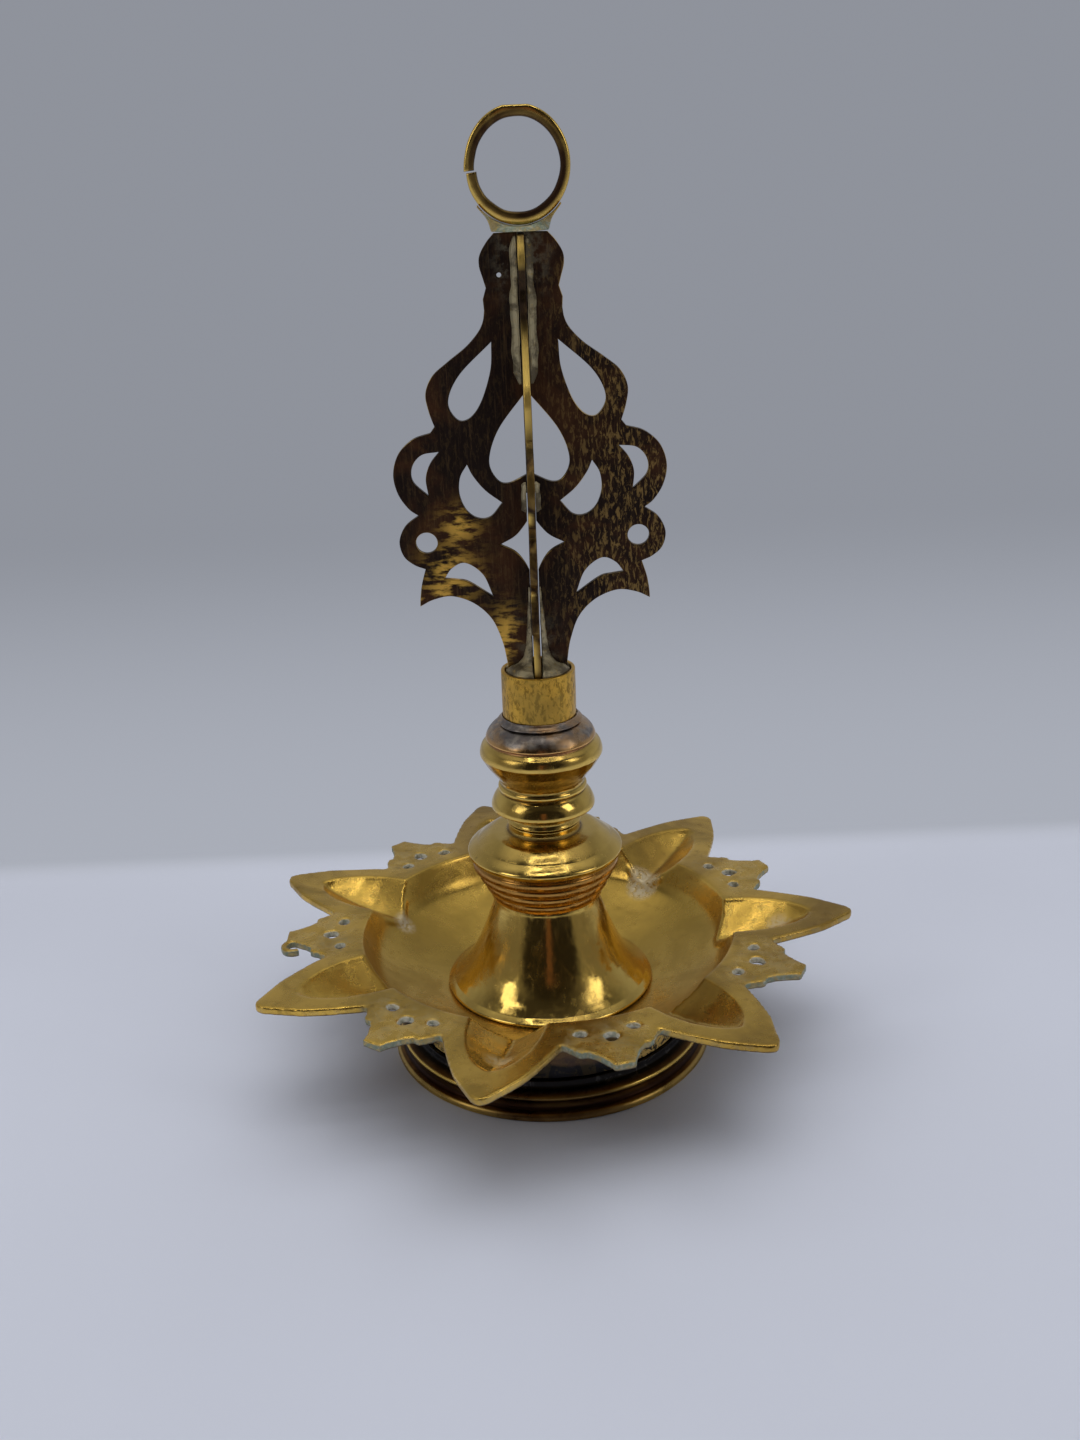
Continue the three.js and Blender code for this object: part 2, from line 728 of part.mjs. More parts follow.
// Hanging ring: a flat band bent to an oval, its scarfed ends meeting in a slit at the left.
function hangingRing() {
  const ring = new THREE.Shape(ovalPoints(ringHalfWidth, ringHalfHeight, ringTopFlat));
  const eye = ovalPoints(ringHalfWidth - ringSideThickness, ringHalfHeight - ringEndThickness, 0);
  ring.holes.push(new THREE.Path(eye));
  const band = upright(ring, ringDepth, ringEdgeRound);
  band.translate(0, 0, ringCentre);
  const slit = new THREE.BoxGeometry(scarfSlit, ringDepth + 2, ringHalfHeight * 0.7);
  slit.rotateY(radians(-9));
  slit.translate(-ringHalfWidth + ringSideThickness / 2, 0, ringCentre);
  return solid(band).subtract(solid(slit));
}
addPiece("suspension_ring", polishedBrass, hangingRing());

// Saddle: a low cap over the plates' tops, with two arms that cradle the ring.
function ringSaddle() {
  const armTop = 7;
  const side = new THREE.Shape();
  side.moveTo(-saddleHalfWidth, 0);
  side.lineTo(saddleHalfWidth, 0);
  side.quadraticCurveTo(saddleHalfWidth + 0.6, 3, saddleArmReach + 0.9, armTop);
  side.lineTo(saddleArmReach, armTop + 0.4);
  side.lineTo(-saddleArmReach, armTop + 0.4);
  side.lineTo(-saddleArmReach - 0.9, armTop);
  side.quadraticCurveTo(-saddleHalfWidth - 0.6, 3, -saddleHalfWidth, 0);
  const cradle = upright(side, saddleDepth, 0);
  cradle.translate(0, 0, saddleBase);
  const cap = turned(
    [
      [0, 0],
      [saddleHalfWidth, 0],
      [saddleHalfWidth - 0.8, 1],
      [saddleHalfWidth - 3, 1.8],
      [0, 2],
    ],
    saddleBase,
    smallSegments,
  );
  const room = new THREE.Shape(ovalPoints(ringHalfWidth + solderGap, ringHalfHeight + solderGap, 0));
  const ringRoom = upright(room, saddleDepth + 2 * saddleHalfWidth, 0);
  ringRoom.translate(0, 0, ringCentre);
  return solid(cradle).add(cap).subtract(solid(ringRoom));
}
addPiece("ring_saddle", castBrass, ringSaddle());

// Rod through the stem: its head lies in the knop, its end under the pan carries the washer and the nut.
function tieRod() {
  const headBase = knopTop - rodHeadHeight;
  return turned(
    [
      [0, rodEnd],
      [rodRadius - 0.4, rodEnd],
      [rodRadius, rodEnd + 0.5],
      [rodRadius, headBase],
      [rodHeadRadius, headBase],
      [rodHeadRadius, knopTop - 0.6],
      [rodHeadRadius - 0.6, knopTop],
      [0, knopTop],
    ],
    0,
    smallSegments,
  );
}
addPiece("tie_rod", polishedBrass, tieRod());

const washerTop = dishUnderside - solderGap;
const nutTop = washerTop - washerThickness - solderGap;

function clampWasher() {
  return turned(
    [
      [boreRadius, washerTop - washerThickness],
      [washerRadius, washerTop - washerThickness],
      [washerRadius, washerTop],
      [boreRadius, washerTop],
    ],
    0,
    smallSegments,
  );
}
addPiece("clamp_washer", castBrass, clampWasher());

function clampNut() {
  const corner = nutAcrossFlats / Math.sqrt(3);
  const hexagon = Array.from({ length: 6 }, (_, k) => placed([corner, 0], (k * Math.PI) / 3));
  const shape = new THREE.Shape(hexagon);
  const bore = new THREE.Path();
  bore.absarc(0, 0, boreRadius, 0, 2 * Math.PI);
  shape.holes.push(bore);
  return extrudedUp(shape, nutTop - nutHeight, nutHeight);
}
addPiece("clamp_nut", castBrass, clampNut());

export default lamp;
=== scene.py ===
import math
from contextlib import contextmanager
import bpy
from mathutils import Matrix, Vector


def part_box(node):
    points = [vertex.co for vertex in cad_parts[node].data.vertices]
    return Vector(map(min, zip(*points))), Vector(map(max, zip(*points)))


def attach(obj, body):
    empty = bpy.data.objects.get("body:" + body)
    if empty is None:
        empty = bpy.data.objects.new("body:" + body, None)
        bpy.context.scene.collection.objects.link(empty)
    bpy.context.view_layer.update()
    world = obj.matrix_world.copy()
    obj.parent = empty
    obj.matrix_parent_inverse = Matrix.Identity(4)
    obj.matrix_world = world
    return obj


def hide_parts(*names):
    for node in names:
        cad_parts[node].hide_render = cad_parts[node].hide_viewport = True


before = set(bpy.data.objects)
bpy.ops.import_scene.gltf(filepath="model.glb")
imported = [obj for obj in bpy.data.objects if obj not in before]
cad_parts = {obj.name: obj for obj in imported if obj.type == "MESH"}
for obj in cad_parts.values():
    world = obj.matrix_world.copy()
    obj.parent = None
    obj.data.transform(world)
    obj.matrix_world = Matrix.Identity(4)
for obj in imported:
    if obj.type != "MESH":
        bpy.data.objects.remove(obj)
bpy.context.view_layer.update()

from types import SimpleNamespace

import bmesh
import bpy
import numpy as np
from bpy.props import FloatProperty, FloatVectorProperty, IntProperty, PointerProperty
from mathutils import Matrix, Vector, noise

bl_info = {
    "name": "Brass sabbath lamp",
    "version": (1, 0, 0),
    "blender": (4, 5, 0),
    "location": "3D View > Sidebar > Lamp",
    "description": "Dresses the packed lamp: cast star pan, turned stem, pierced plates and hanging ring",
    "category": "Object",
}

MM = 0.001

NOISE_SEED = 7
MOST_TRIANGLES = 190_000

# Heights above the ground, in millimetres, as in the frame
DISH_FLOOR = 21.5
TRUMPET_BASE = 21.8
RIM_TOP = 41.0
SPACER_BASE = 53.3
BELL_BASE = 67.6
KNOP_BASE = 79.1
SHOULDER = 107.9
COLLAR_BASE = 113.6
COLLAR_TOP = 130.0
PLATE_CROSSING = 184.8
PLATE_TOP = 259.0
SADDLE_BASE = 259.3
RING_CENTRE = 276.65

# Other sizes in millimetres
RIM_THICKNESS = 2.8
CAST_WALL = 2.4
HULL_WALL = 2.1
DISH_RADIUS = 61
DISH_FLAT = 34
BORE_RADIUS = 3.3
SOLDER_GAP = 0.3
CUT_ROOM = 2
RING_HALF_WIDTH = 14.65
RING_HALF_HEIGHT = 15.9

# The star's pattern, in degrees from +X
SPOUT_COUNT = 7
FIRST_SPOUT = 206.46
PITCH = 360 / SPOUT_COUNT
FIRST_CREST = FIRST_SPOUT + PITCH / 2


class LampSizes(bpy.types.PropertyGroup):
    """Sizes of the dressed pieces."""

    turned_steps: IntProperty(
        name="Turned steps", description="Steps round each turned piece", default=160, min=24, max=360
    )
    edge_wear: FloatProperty(
        name="Edge wear", description="How far the turned edges are rounded by wear",
        default=0.25 * MM, min=0, max=1 * MM, subtype="DISTANCE", unit="LENGTH",
    )
    plate_thickness: FloatProperty(
        name="Plate thickness", description="Thickness of the pierced plates",
        default=2.1 * MM, min=1 * MM, max=4 * MM, subtype="DISTANCE", unit="LENGTH",
    )
    cast_grain: FloatProperty(
        name="Cast grain", description="Cell size that softens the cast pan's edges",
        default=0.68 * MM, min=0.4 * MM, max=2 * MM, subtype="DISTANCE", unit="LENGTH",
    )
    unevenness: FloatProperty(
        name="Unevenness", description="How far hand work strays from the true shape",
        default=0.3 * MM, min=0, max=1 * MM, subtype="DISTANCE", unit="LENGTH",
    )


def colour_property(name, description, default):
    return FloatVectorProperty(
        name=name, description=description, default=default, size=3, min=0, max=1, subtype="COLOR"
    )


class LampFinishes(bpy.types.PropertyGroup):
    """Colours of the lamp's finishes."""

    polished: colour_property("Polished brass", "Turned brass, rubbed bright", (0.78, 0.53, 0.13))
    cast: colour_property("Cast brass", "The pan's worn cast brass", (0.76, 0.48, 0.092))
    copper: colour_property("Copper brass", "Redder brass of the stepped rings", (0.52, 0.27, 0.065))
    tarnish: colour_property("Tarnish", "Brown skin on the pierced plates", (0.020, 0.012, 0.009))
    soot: colour_property("Soot", "Black in the drum's lower zone", (0.020, 0.018, 0.017))
    verdigris: colour_property("Verdigris", "Grey-green crust on the crests", (0.24, 0.28, 0.20))
    solder: colour_property("Solder", "Dull grey solder", (0.34, 0.305, 0.20))
    floor: colour_property("Floor", "Pale floor under the lamp", (0.70, 0.73, 0.83))
    backdrop: colour_property("Backdrop", "Grey sweep behind the lamp", (0.275, 0.29, 0.33))


class LampStage(bpy.types.PropertyGroup):
    """Camera and light."""

    lens: FloatProperty(
        name="Lens", description="Focal length", default=38.855, min=10, max=200, unit="CAMERA"
    )
    distance: FloatProperty(
        name="Distance", description="From the stem's axis to the camera",
        default=0.455, min=0.1, max=5, subtype="DISTANCE", unit="LENGTH",
    )
    height: FloatProperty(
        name="Height", description="Camera's height above the floor",
        default=0.2857, min=0, max=5, subtype="DISTANCE", unit="LENGTH",
    )
    tilt: FloatProperty(
        name="Tilt", description="How far the camera looks down",
        default=math.radians(20.826), subtype="ANGLE", unit="ROTATION",
    )
    roll: FloatProperty(
        name="Roll", description="Camera's turn about its own line of sight",
        default=math.radians(-2.337), subtype="ANGLE", unit="ROTATION",
    )
    key_power: FloatProperty(
        name="Key light", description="Power of the soft lights, from which the others follow",
        default=1.6, min=0, unit="POWER",
    )


# Meshes

def new_object(name, points, faces, smooth=True):
    mesh = bpy.data.meshes.new(name)
    mesh.from_pydata([tuple(p) for p in points], [], [tuple(f) for f in faces])
    mesh.validate()
    mesh.polygons.foreach_set("use_smooth", [smooth] * len(mesh.polygons))
    mesh.update()
    made = bpy.data.objects.new(name, mesh)
    bpy.context.scene.collection.objects.link(made)
    return made


def evaluated(made):
    """Turns an object with live modifiers into a plain mesh."""
    graph = bpy.context.evaluated_depsgraph_get()
    graph.update()
    mesh = bpy.data.meshes.new_from_object(made.evaluated_get(graph))
    made.modifiers.clear()
    old = made.data
    made.data = mesh
    mesh.name = made.name
    if old.users == 0 and isinstance(old, bpy.types.Mesh):
        bpy.data.meshes.remove(old)
    return made


def discard(made):
    bpy.data.objects.remove(made)


@contextmanager
def opened(made):
    """The object's mesh, open for editing and written back afterwards."""
    work = bmesh.new()
    work.from_mesh(made.data)
    yield work
    work.to_mesh(made.data)
    work.free()
    made.data.update()


def combined(made, other, operation):
    """Joins another closed mesh to this one, or cuts it away."""
    modifier = made.modifiers.new("cut", "BOOLEAN")
    modifier.operation = operation
    modifier.solver = "MANIFOLD"
    modifier.object = other
    evaluated(made)
    discard(other)
    if not made.data.polygons:
        raise RuntimeError(f"{made.name}: nothing is left after {operation}")


def coordinates(made):
    flat = np.empty(len(made.data.vertices) * 3)
    made.data.vertices.foreach_get("co", flat)
    return flat.reshape(-1, 3)


def put_back(made, points):
    made.data.vertices.foreach_set("co", np.asarray(points, float).ravel())
    made.data.update()


def mark(made, name, values):
    """Keeps a number from 0 to 1 on every point, for the materials."""
    layer = made.data.attributes.get(name) or made.data.attributes.new(name, "FLOAT", "POINT")
    layer.data.foreach_set("value", np.clip(values, 0, 1).astype(np.float32))


def uneven(made, amount, scale, seed=0.0, vertical=1.0):
    """Moves each point a little, in slow waves, as hand work does."""
    noise.seed_set(NOISE_SEED)
    points = coordinates(made)
    shift = np.array([
        noise.noise_vector(Vector((p[0] * scale + seed, p[1] * scale - seed, p[2] * scale + 3 * seed)))
        for p in points
    ])
    shift[:, 2] *= vertical
    put_back(made, points + shift * amount)


def clean(made, distance=1e-6):
    """Merges doubled points and points every face outwards."""
    with opened(made) as work:
        bmesh.ops.remove_doubles(work, verts=work.verts, dist=distance)
        bmesh.ops.recalc_face_normals(work, faces=work.faces)
    return made


def soften(made, cell, rounds=2):
    """Rebuilds a solid in small even cells, so that its edges are worn round."""
    modifier = made.modifiers.new("cells", "REMESH")
    modifier.mode = "VOXEL"
    modifier.voxel_size = cell
    modifier.use_smooth_shade = True
    smooth = made.modifiers.new("worn", "SMOOTH")
    smooth.iterations = rounds
    smooth.factor = 0.5
    evaluated(made)


def thin_out(made, most):
    """Keeps the mesh under a number of triangles."""
    count = sum(len(p.vertices) - 2 for p in made.data.polygons)
    if count > most:
        modifier = made.modifiers.new("fewer", "DECIMATE")
        modifier.ratio = most / count
        evaluated(made)
    made.data.polygons.foreach_set("use_smooth", [True] * len(made.data.polygons))


def lift(made, height):
    made.data.transform(Matrix.Translation((0, 0, height * MM)))


def stand_up(made):
    """Turns a flat shape so that its front faces -Y."""
    made.data.transform(Matrix.Rotation(math.pi / 2, 4, "X"))


def skinned(name, points, count):
    """Closed skin over rings of points, count to a ring, with a flat face at both ends."""
    rings = len(points) // count
    faces = []
    for k in range(rings - 1):
        here, after = k * count, (k + 1) * count
        for i in range(count):
            j = (i + 1) % count
            faces.append((here + i, here + j, after + j, after + i))
    faces.append(tuple(range(count))[::-1])
    faces.append(tuple((rings - 1) * count + i for i in range(count)))
    return new_object(name, points, faces)


def circle(radius, steps, middle=(0, 0), height=None):
    """Points on a circle, or on an oval where a height is given too."""
    turns = np.linspace(0, 2 * math.pi, steps, endpoint=False)
    height = radius if height is None else height
    return [(middle[0] + radius * math.cos(t), middle[1] + height * math.sin(t)) for t in turns]


def in_place(made, slot, *nodes):
    """Rides the piece on the lamp and lets it stand for its frame nodes."""
    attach(made, "root")
    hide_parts(*nodes)


# Turned pieces

def through(points, step=0.35):
    """Points along a smooth line through the given points."""
    given = np.array(points, float)
    if len(given) == 2:
        count = max(2, int(np.hypot(*(given[1] - given[0])) / step) + 1)
        return [tuple(p) for p in np.linspace(given[0], given[1], count)]
    padded = np.vstack([2 * given[0] - given[1], given, 2 * given[-1] - given[-2]])
    out = [tuple(given[0])]
    for a, b, c, d in zip(padded, padded[1:], padded[2:], padded[3:]):
        count = max(2, int(np.hypot(*(c - b)) / step) + 1)
        for t in np.linspace(0, 1, count)[1:]:
            out.append(tuple(0.5 * (
                2 * b + (c - a) * t + (2 * a - 5 * b + 4 * c - d) * t * t + (3 * b - a - 3 * c + d) * t ** 3
            )))
    return out


def worn_loop(runs, wear, spacing=0.12):
    """Closed profile through smooth runs, each from where the last one ends, its corners rounded by wear."""
    loop, start = [], runs[-1][-1]
    for run in runs:
        loop.extend(through([start, *run]))
        start = run[-1]
    loop = np.array(loop + [loop[0]])
    keep = np.r_[True, np.hypot(*np.diff(loop, axis=0).T) > 1e-6]
    loop = loop[keep]
    along = np.r_[0, np.cumsum(np.hypot(*np.diff(loop, axis=0).T))]
    count = int(along[-1] / spacing)
    even = np.linspace(0, along[-1], count, endpoint=False)
    ring = np.c_[np.interp(even, along, loop[:, 0]), np.interp(even, along, loop[:, 1])]
    if wear > 0:
        reach = int(3 * wear / spacing) + 1
        offsets = np.arange(-reach, reach + 1)
        weights = np.exp(-0.5 * (offsets * spacing / wear) ** 2)
        weights /= weights.sum()
        ring = sum(w * np.roll(ring, k, axis=0) for k, w in zip(offsets, weights))
    return ring


def hollowness(ring, reach=12):
    """How far each point of a closed profile lies in a hollow, from 0 to 1."""
    wide = sum(np.roll(ring, k, axis=0) for k in range(-reach, reach + 1)) / (2 * reach + 1)
    tangent = np.roll(ring, -1, axis=0) - np.roll(ring, 1, axis=0)
    outward = np.c_[tangent[:, 1], -tangent[:, 0]]
    outward /= np.maximum(np.linalg.norm(outward, axis=1, keepdims=True), 1e-9)
    return np.clip(((wide - ring) * outward).sum(1) / 0.5, -1, 1)


def fewer(ring, values, turn=0.02, longest=2.5):
    """Drops profile points where the line runs straight."""
    kept = [0]
    for i in range(1, len(ring)):
        step = ring[i] - ring[kept[-1]]
        length = math.hypot(*step)
        ahead = ring[(i + 1) % len(ring)] - ring[i]
        bend = abs(math.atan2(step[0] * ahead[1] - step[1] * ahead[0], step @ ahead))
        if bend > turn and length > 0.15 or length > longest:
            kept.append(i)
    return ring[kept], values[kept]


def turned(name, runs, base=0.0, wear=None, steps=None):
    """Solid of revolution from a closed profile: runs of (radius, height), corners between them."""
    sizes = bpy.context.scene.lamp_sizes
    steps = steps or sizes.turned_steps
    ring = worn_loop(runs, sizes.edge_wear / MM if wear is None else wear)
    ring, hollow = fewer(ring, hollowness(ring))
    angles = np.linspace(0, 2 * math.pi, steps, endpoint=False)
    count = len(ring)
    points = np.array([
        (r * math.cos(a) * MM, r * math.sin(a) * MM, (z + base) * MM) for a in angles for r, z in ring
    ])
    faces = []
    for k in range(steps):
        here, after = k * count, ((k + 1) % steps) * count
        for i in range(count):
            j = (i + 1) % count
            faces.append((here + i, after + i, after + j, here + j))
    made = new_object(name, points, faces)
    mark(made, "hollow", np.tile(np.clip(hollow, 0, 1), steps))
    mark(made, "proud", np.tile(np.clip(-hollow, 0, 1), steps))
    return made


# Node-built repeats

def node_group(name, sockets):
    """Geometry node tree with named inputs and one geometry output."""
    tree = bpy.data.node_groups.new(name, "GeometryNodeTree")
    tree.interface.new_socket("Geometry", in_out="INPUT", socket_type="NodeSocketGeometry")
    for label, kind, default in sockets:
        socket = tree.interface.new_socket(label, in_out="INPUT", socket_type=kind)
        if default is not None:
            socket.default_value = default
    tree.interface.new_socket("Geometry", in_out="OUTPUT", socket_type="NodeSocketGeometry")
    return tree


def tree_node(tree, kind, links=(), **settings):
    made = tree.nodes.new(kind)
    for key, value in settings.items():
        setattr(made, key, value)
    for socket, source in dict(links).items():
        target = made.inputs[socket]
        if isinstance(source, bpy.types.NodeSocket):
            tree.links.new(source, target)
        else:
            target.default_value = source
    return made


MIX_SHARE, MIX_FIRST, MIX_SECOND, MIX_RESULT = 0, 6, 7, 2


def ramp(tree, value, low, high, first=0.0, last=1.0, kind="SMOOTHSTEP"):
    """The value's course from low to high, as a number from first to last."""
    return tree_node(tree, "ShaderNodeMapRange", {
        "Value": value, "From Min": low, "From Max": high, "To Min": first, "To Max": last,
    }, interpolation_type=kind).outputs[0]


def blend(tree, share, first, second):
    """A share of the way from the first colour to the second."""
    made = tree_node(tree, "ShaderNodeMix", data_type="RGBA")
    for index, source in ((MIX_SHARE, share), (MIX_FIRST, first), (MIX_SECOND, second)):
        if isinstance(source, bpy.types.NodeSocket):
            tree.links.new(source, made.inputs[index])
        elif index == MIX_SHARE:
            made.inputs[index].default_value = source
        else:
            made.inputs[index].default_value = (*source, 1)
    return made.outputs[MIX_RESULT]


def run_tree(made, tree, **values):
    """Puts a tree on an object, sets its inputs by identifier and keeps the plain result."""
    modifier = made.modifiers.new(tree.name, "NODES")
    modifier.node_group = tree
    for item in tree.interface.items_tree:
        if item.item_type == "SOCKET" and item.in_out == "INPUT" and item.name in values:
            modifier[item.identifier] = values[item.name]
    return evaluated(made)


def radial_tree():
    """Copies of the object's mesh, turned at even steps about the lamp's axis."""
    tree = bpy.data.node_groups.get("Copies round the axis")
    if tree:
        return tree
    tree = node_group("Copies round the axis", [
        ("Count", "NodeSocketInt", 7), ("First angle", "NodeSocketFloat", 0.0),
        ("Material", "NodeSocketMaterial", None),
    ])
    start = tree_node(tree, "NodeGroupInput")
    line = tree_node(tree, "GeometryNodeMeshLine", {"Count": start.outputs["Count"], "Offset": (0, 0, 0)})
    place = tree_node(tree, "GeometryNodeInputIndex")
    turn = tree_node(tree, "ShaderNodeMath", {0: 2 * math.pi, 1: start.outputs["Count"]}, operation="DIVIDE")
    angle = tree_node(
        tree, "ShaderNodeMath",
        {0: place.outputs[0], 1: turn.outputs[0], 2: start.outputs["First angle"]}, operation="MULTIPLY_ADD",
    )
    euler = tree_node(tree, "ShaderNodeCombineXYZ", {"Z": angle.outputs[0]})
    copies = tree_node(tree, "GeometryNodeInstanceOnPoints", {
        "Points": line.outputs["Mesh"], "Instance": start.outputs["Geometry"],
        "Rotation": euler.outputs["Vector"],
    })
    real = tree_node(tree, "GeometryNodeRealizeInstances", {"Geometry": copies.outputs["Instances"]})
    finish = tree_node(tree, "GeometryNodeSetMaterial", {
        "Geometry": real.outputs["Geometry"], "Material": start.outputs["Material"],
    })
    end = tree_node(tree, "NodeGroupOutput")
    tree.links.new(finish.outputs["Geometry"], end.inputs["Geometry"])
    return tree


def round_the_axis(made, count, first_degrees, material=None):
    return run_tree(made, radial_tree(), **{
        "Count": count, "First angle": math.radians(first_degrees), "Material": material,
    })


# Materials

# Colours of dirt, wear and crust, some of them also used for painted shade on faces that look down
BROWN = (0.10, 0.052, 0.018)
COPPER_BROWN = (0.09, 0.04, 0.015)
RING_BROWN = (0.055, 0.028, 0.014)
RED_GOLD = (0.5, 0.2, 0.05)
RED_BROWN = (0.2, 0.05, 0.01)
COLLAR_GOLD = (0.74, 0.44, 0.07)
OLIVE_FILM = (0.34, 0.27, 0.08)
HEATED_COPPER = (0.66, 0.33, 0.17)
DARK_SMOKE = (0.20, 0.175, 0.16)
PALE_SMOKE = (0.36, 0.32, 0.27)
CAST_SHADE = (0.25, 0.16, 0.03)
CAST_GRAIN = (0.15, 0.08, 0.02)
CAST_STAIN = (0.27, 0.15, 0.035)
# Painted shade for the pan's faces that look down
CAST_UNDERSIDE_SHADE = (0.13, 0.08, 0.035)
WELL_OLIVE = (0.30, 0.21, 0.04)
PALE_CRUST = (0.44, 0.44, 0.33)
LIME = (0.70, 0.67, 0.55)
FOOT_DARK = (0.11, 0.052, 0.022)
FOOT_LIGHT = (0.26, 0.15, 0.05)
FOOT_SPOT = (0.07, 0.035, 0.018)
FOOT_GROOVE = (0.030, 0.013, 0.008)
SOOT_FLECK = (0.06, 0.055, 0.05)
RED_TARNISH = (0.066, 0.027, 0.012)
BRUSHED_BROWN = (0.13, 0.075, 0.03)
SCUFFED_GOLD = (0.33, 0.205, 0.065)
ORANGE_GOLD = (0.85, 0.40, 0.02)
DRUM_BROWN = (0.20, 0.115, 0.055)
DRUM_BLUE = (0.030, 0.033, 0.052)
FLECK_GOLD = (0.6, 0.55, 0.35)
SOLDER_DIRT = (0.16, 0.10, 0.04)
SOLDER_YELLOW = (0.6, 0.45, 0.2)


class Finish:
    """A procedural material, built node by node."""

    def __init__(self, name):
        self.material = bpy.data.materials.new("lamp_" + name)
        self.material.use_nodes = True
        self.tree = self.material.node_tree
        self.tree.nodes.clear()
        out = self.node("ShaderNodeOutputMaterial")
        self.shader = self.node("ShaderNodeBsdfPrincipled")
        self.tree.links.new(self.shader.outputs[0], out.inputs["Surface"])
        self.place = self.node("ShaderNodeTexCoord").outputs["Object"]

    def node(self, kind, links=(), **settings):
        return tree_node(self.tree, kind, links, **settings)

    def noise(self, scale, detail=4.0, roughness=0.55, distortion=0.0):
        """Noise with a grain given per metre, the same all ways or one for each axis."""
        vector = self.place
        if isinstance(scale, tuple):
            vector = self.node("ShaderNodeMapping", {"Vector": self.place, "Scale": scale}).outputs[0]
            scale = 1
        return self.node("ShaderNodeTexNoise", {
            "Vector": vector, "Scale": scale, "Detail": detail,
            "Roughness": roughness, "Distortion": distortion,
        }).outputs["Fac"]

    def between(self, value, low, high, first=0.0, last=1.0):
        return ramp(self.tree, value, low, high, first, last)

    def math(self, operation, a, b, clamp=False):
        return self.node("ShaderNodeMath", {0: a, 1: b}, operation=operation, use_clamp=clamp).outputs[0]

    def times(self, a, b, clamp=False):
        return self.math("MULTIPLY", a, b, clamp)

    def plus(self, value, extra, share, clamp=False):
        """The value with a share of something else added to it."""
        return self.math("ADD", value, self.times(extra, share), clamp)

    def mixed(self, share, a, b):
        return blend(self.tree, share, a, b)

    def attribute(self, name):
        return self.node("ShaderNodeAttribute", attribute_name=name).outputs["Fac"]

    def along(self, axis):
        return self.node("ShaderNodeSeparateXYZ", {"Vector": self.place}).outputs[axis]

    def wavy_height(self, cloud, swing):
        """Height above the ground, made uneven by a cloud of noise."""
        return self.plus(self.along("Z"), self.math("SUBTRACT", cloud, 0.5), swing)

    def bump(self, height, distance, strength=1.0):
        before = self.shader.inputs["Normal"].links
        links = {"Height": height, "Distance": distance, "Strength": strength}
        if before:
            links["Normal"] = before[0].from_socket
        made = self.node("ShaderNodeBump", links)
        self.tree.links.new(made.outputs[0], self.shader.inputs["Normal"])

    def wire(self, colour, roughness, metallic=1.0):
        for key, source in (("Base Color", colour), ("Roughness", roughness), ("Metallic", metallic)):
            if isinstance(source, bpy.types.NodeSocket):
                self.tree.links.new(source, self.shader.inputs[key])
            else:
                self.shader.inputs[key].default_value = source
        return self.material


def shade(colour, factor, toward=(0, 0, 0), share=0.0):
    """A colour times a factor, then moved a share of the way towards another one."""
    return tuple(min(1, c * factor * (1 - share) + t * share) for c, t in zip(colour, toward))


def polished_finish(name, colour, dirt_and_shade=BROWN, rough=(0.09, 0.24), patina=False, mottled=False):
    """Turned brass: rubbed bright on what stands proud, brown in the grooves, with fine tool lines, and
    darkened on faces that look down as painted shade.
    """
    finish = Finish(name)
    cloud = finish.noise(45, 3, 0.6, 0.4)
    spots = finish.noise(320, 5, 0.65)
    tool_lines = finish.noise((60, 60, 1900), 3, 0.5)
    base = finish.mixed(finish.between(cloud, 0.35, 0.7), colour, shade(colour, 0.82, RED_GOLD, 0.1))
    base = finish.mixed(finish.between(spots, 0.62, 0.78, 0, 0.5), base, dirt_and_shade)
    if mottled:
        streaks = finish.between(finish.noise((800, 800, 380), 5, 0.7, 0.5), 0.47, 0.60, 0, 0.75)
        base = finish.mixed(streaks, base, shade(colour, 0.28, RED_BROWN, 0.15))
        base = finish.mixed(finish.between(cloud, 0.5, 0.66, 0, 0.3), base, OLIVE_FILM)
    # Painted shade: faces that look down are darkened towards the dirt colour, standing in for the shade
    # beneath them.
    normal = finish.node("ShaderNodeNewGeometry").outputs["Normal"]
    facing_up = finish.node("ShaderNodeSeparateXYZ", {"Vector": normal}).outputs["Z"]
    underside = finish.between(facing_up, -0.10, -0.45, 0, 0.55)
    base = finish.mixed(underside, base, shade(dirt_and_shade, 1.6))
    groove = finish.between(finish.attribute("hollow"), 0.12, 0.75)
    grime = finish.times(groove, finish.between(cloud, 0.2, 0.55, 0.55, 1.0))
    base = finish.mixed(grime, base, dirt_and_shade)
    wear = finish.between(finish.attribute("proud"), 0.2, 0.7, 0, 0.5)
    base = finish.mixed(wear, base, shade(colour, 1.1))
    roughness = finish.between(finish.plus(cloud, spots, 0.5), 0.6, 1.0, *rough)
    roughness = finish.plus(roughness, grime, 0.25)
    wiped = finish.noise((420, 420, 30), 4, 0.6, 0.4)
    roughness = finish.math("ADD", roughness, finish.between(wiped, 0.45, 0.68, 0, 0.12))
    if patina:
        height, shoulder = finish.wavy_height(cloud, 2 * MM), SHOULDER * MM
        heated = finish.between(height, shoulder - 1.2 * MM, shoulder - 0.4 * MM, 0, 0.55)
        base = finish.mixed(heated, base, HEATED_COPPER)
        smoked = finish.between(height, shoulder + 0.6 * MM, shoulder + 2.0 * MM)
        smoked = finish.times(smoked, finish.between(finish.noise(110, 4, 0.6), 0.40, 0.62, 1, 0.45))
        smoke = finish.mixed(finish.between(spots, 0.45, 0.6), DARK_SMOKE, PALE_SMOKE)
        base = finish.mixed(smoked, base, smoke)
        roughness = finish.plus(roughness, smoked, 0.2)
    finish.bump(tool_lines, 0.016 * MM, 0.6)
    finish.bump(spots, 0.016 * MM, 0.5)
    finish.bump(finish.noise(140, 2), 0.24 * MM, 0.6)
    return finish.wire(base, roughness)


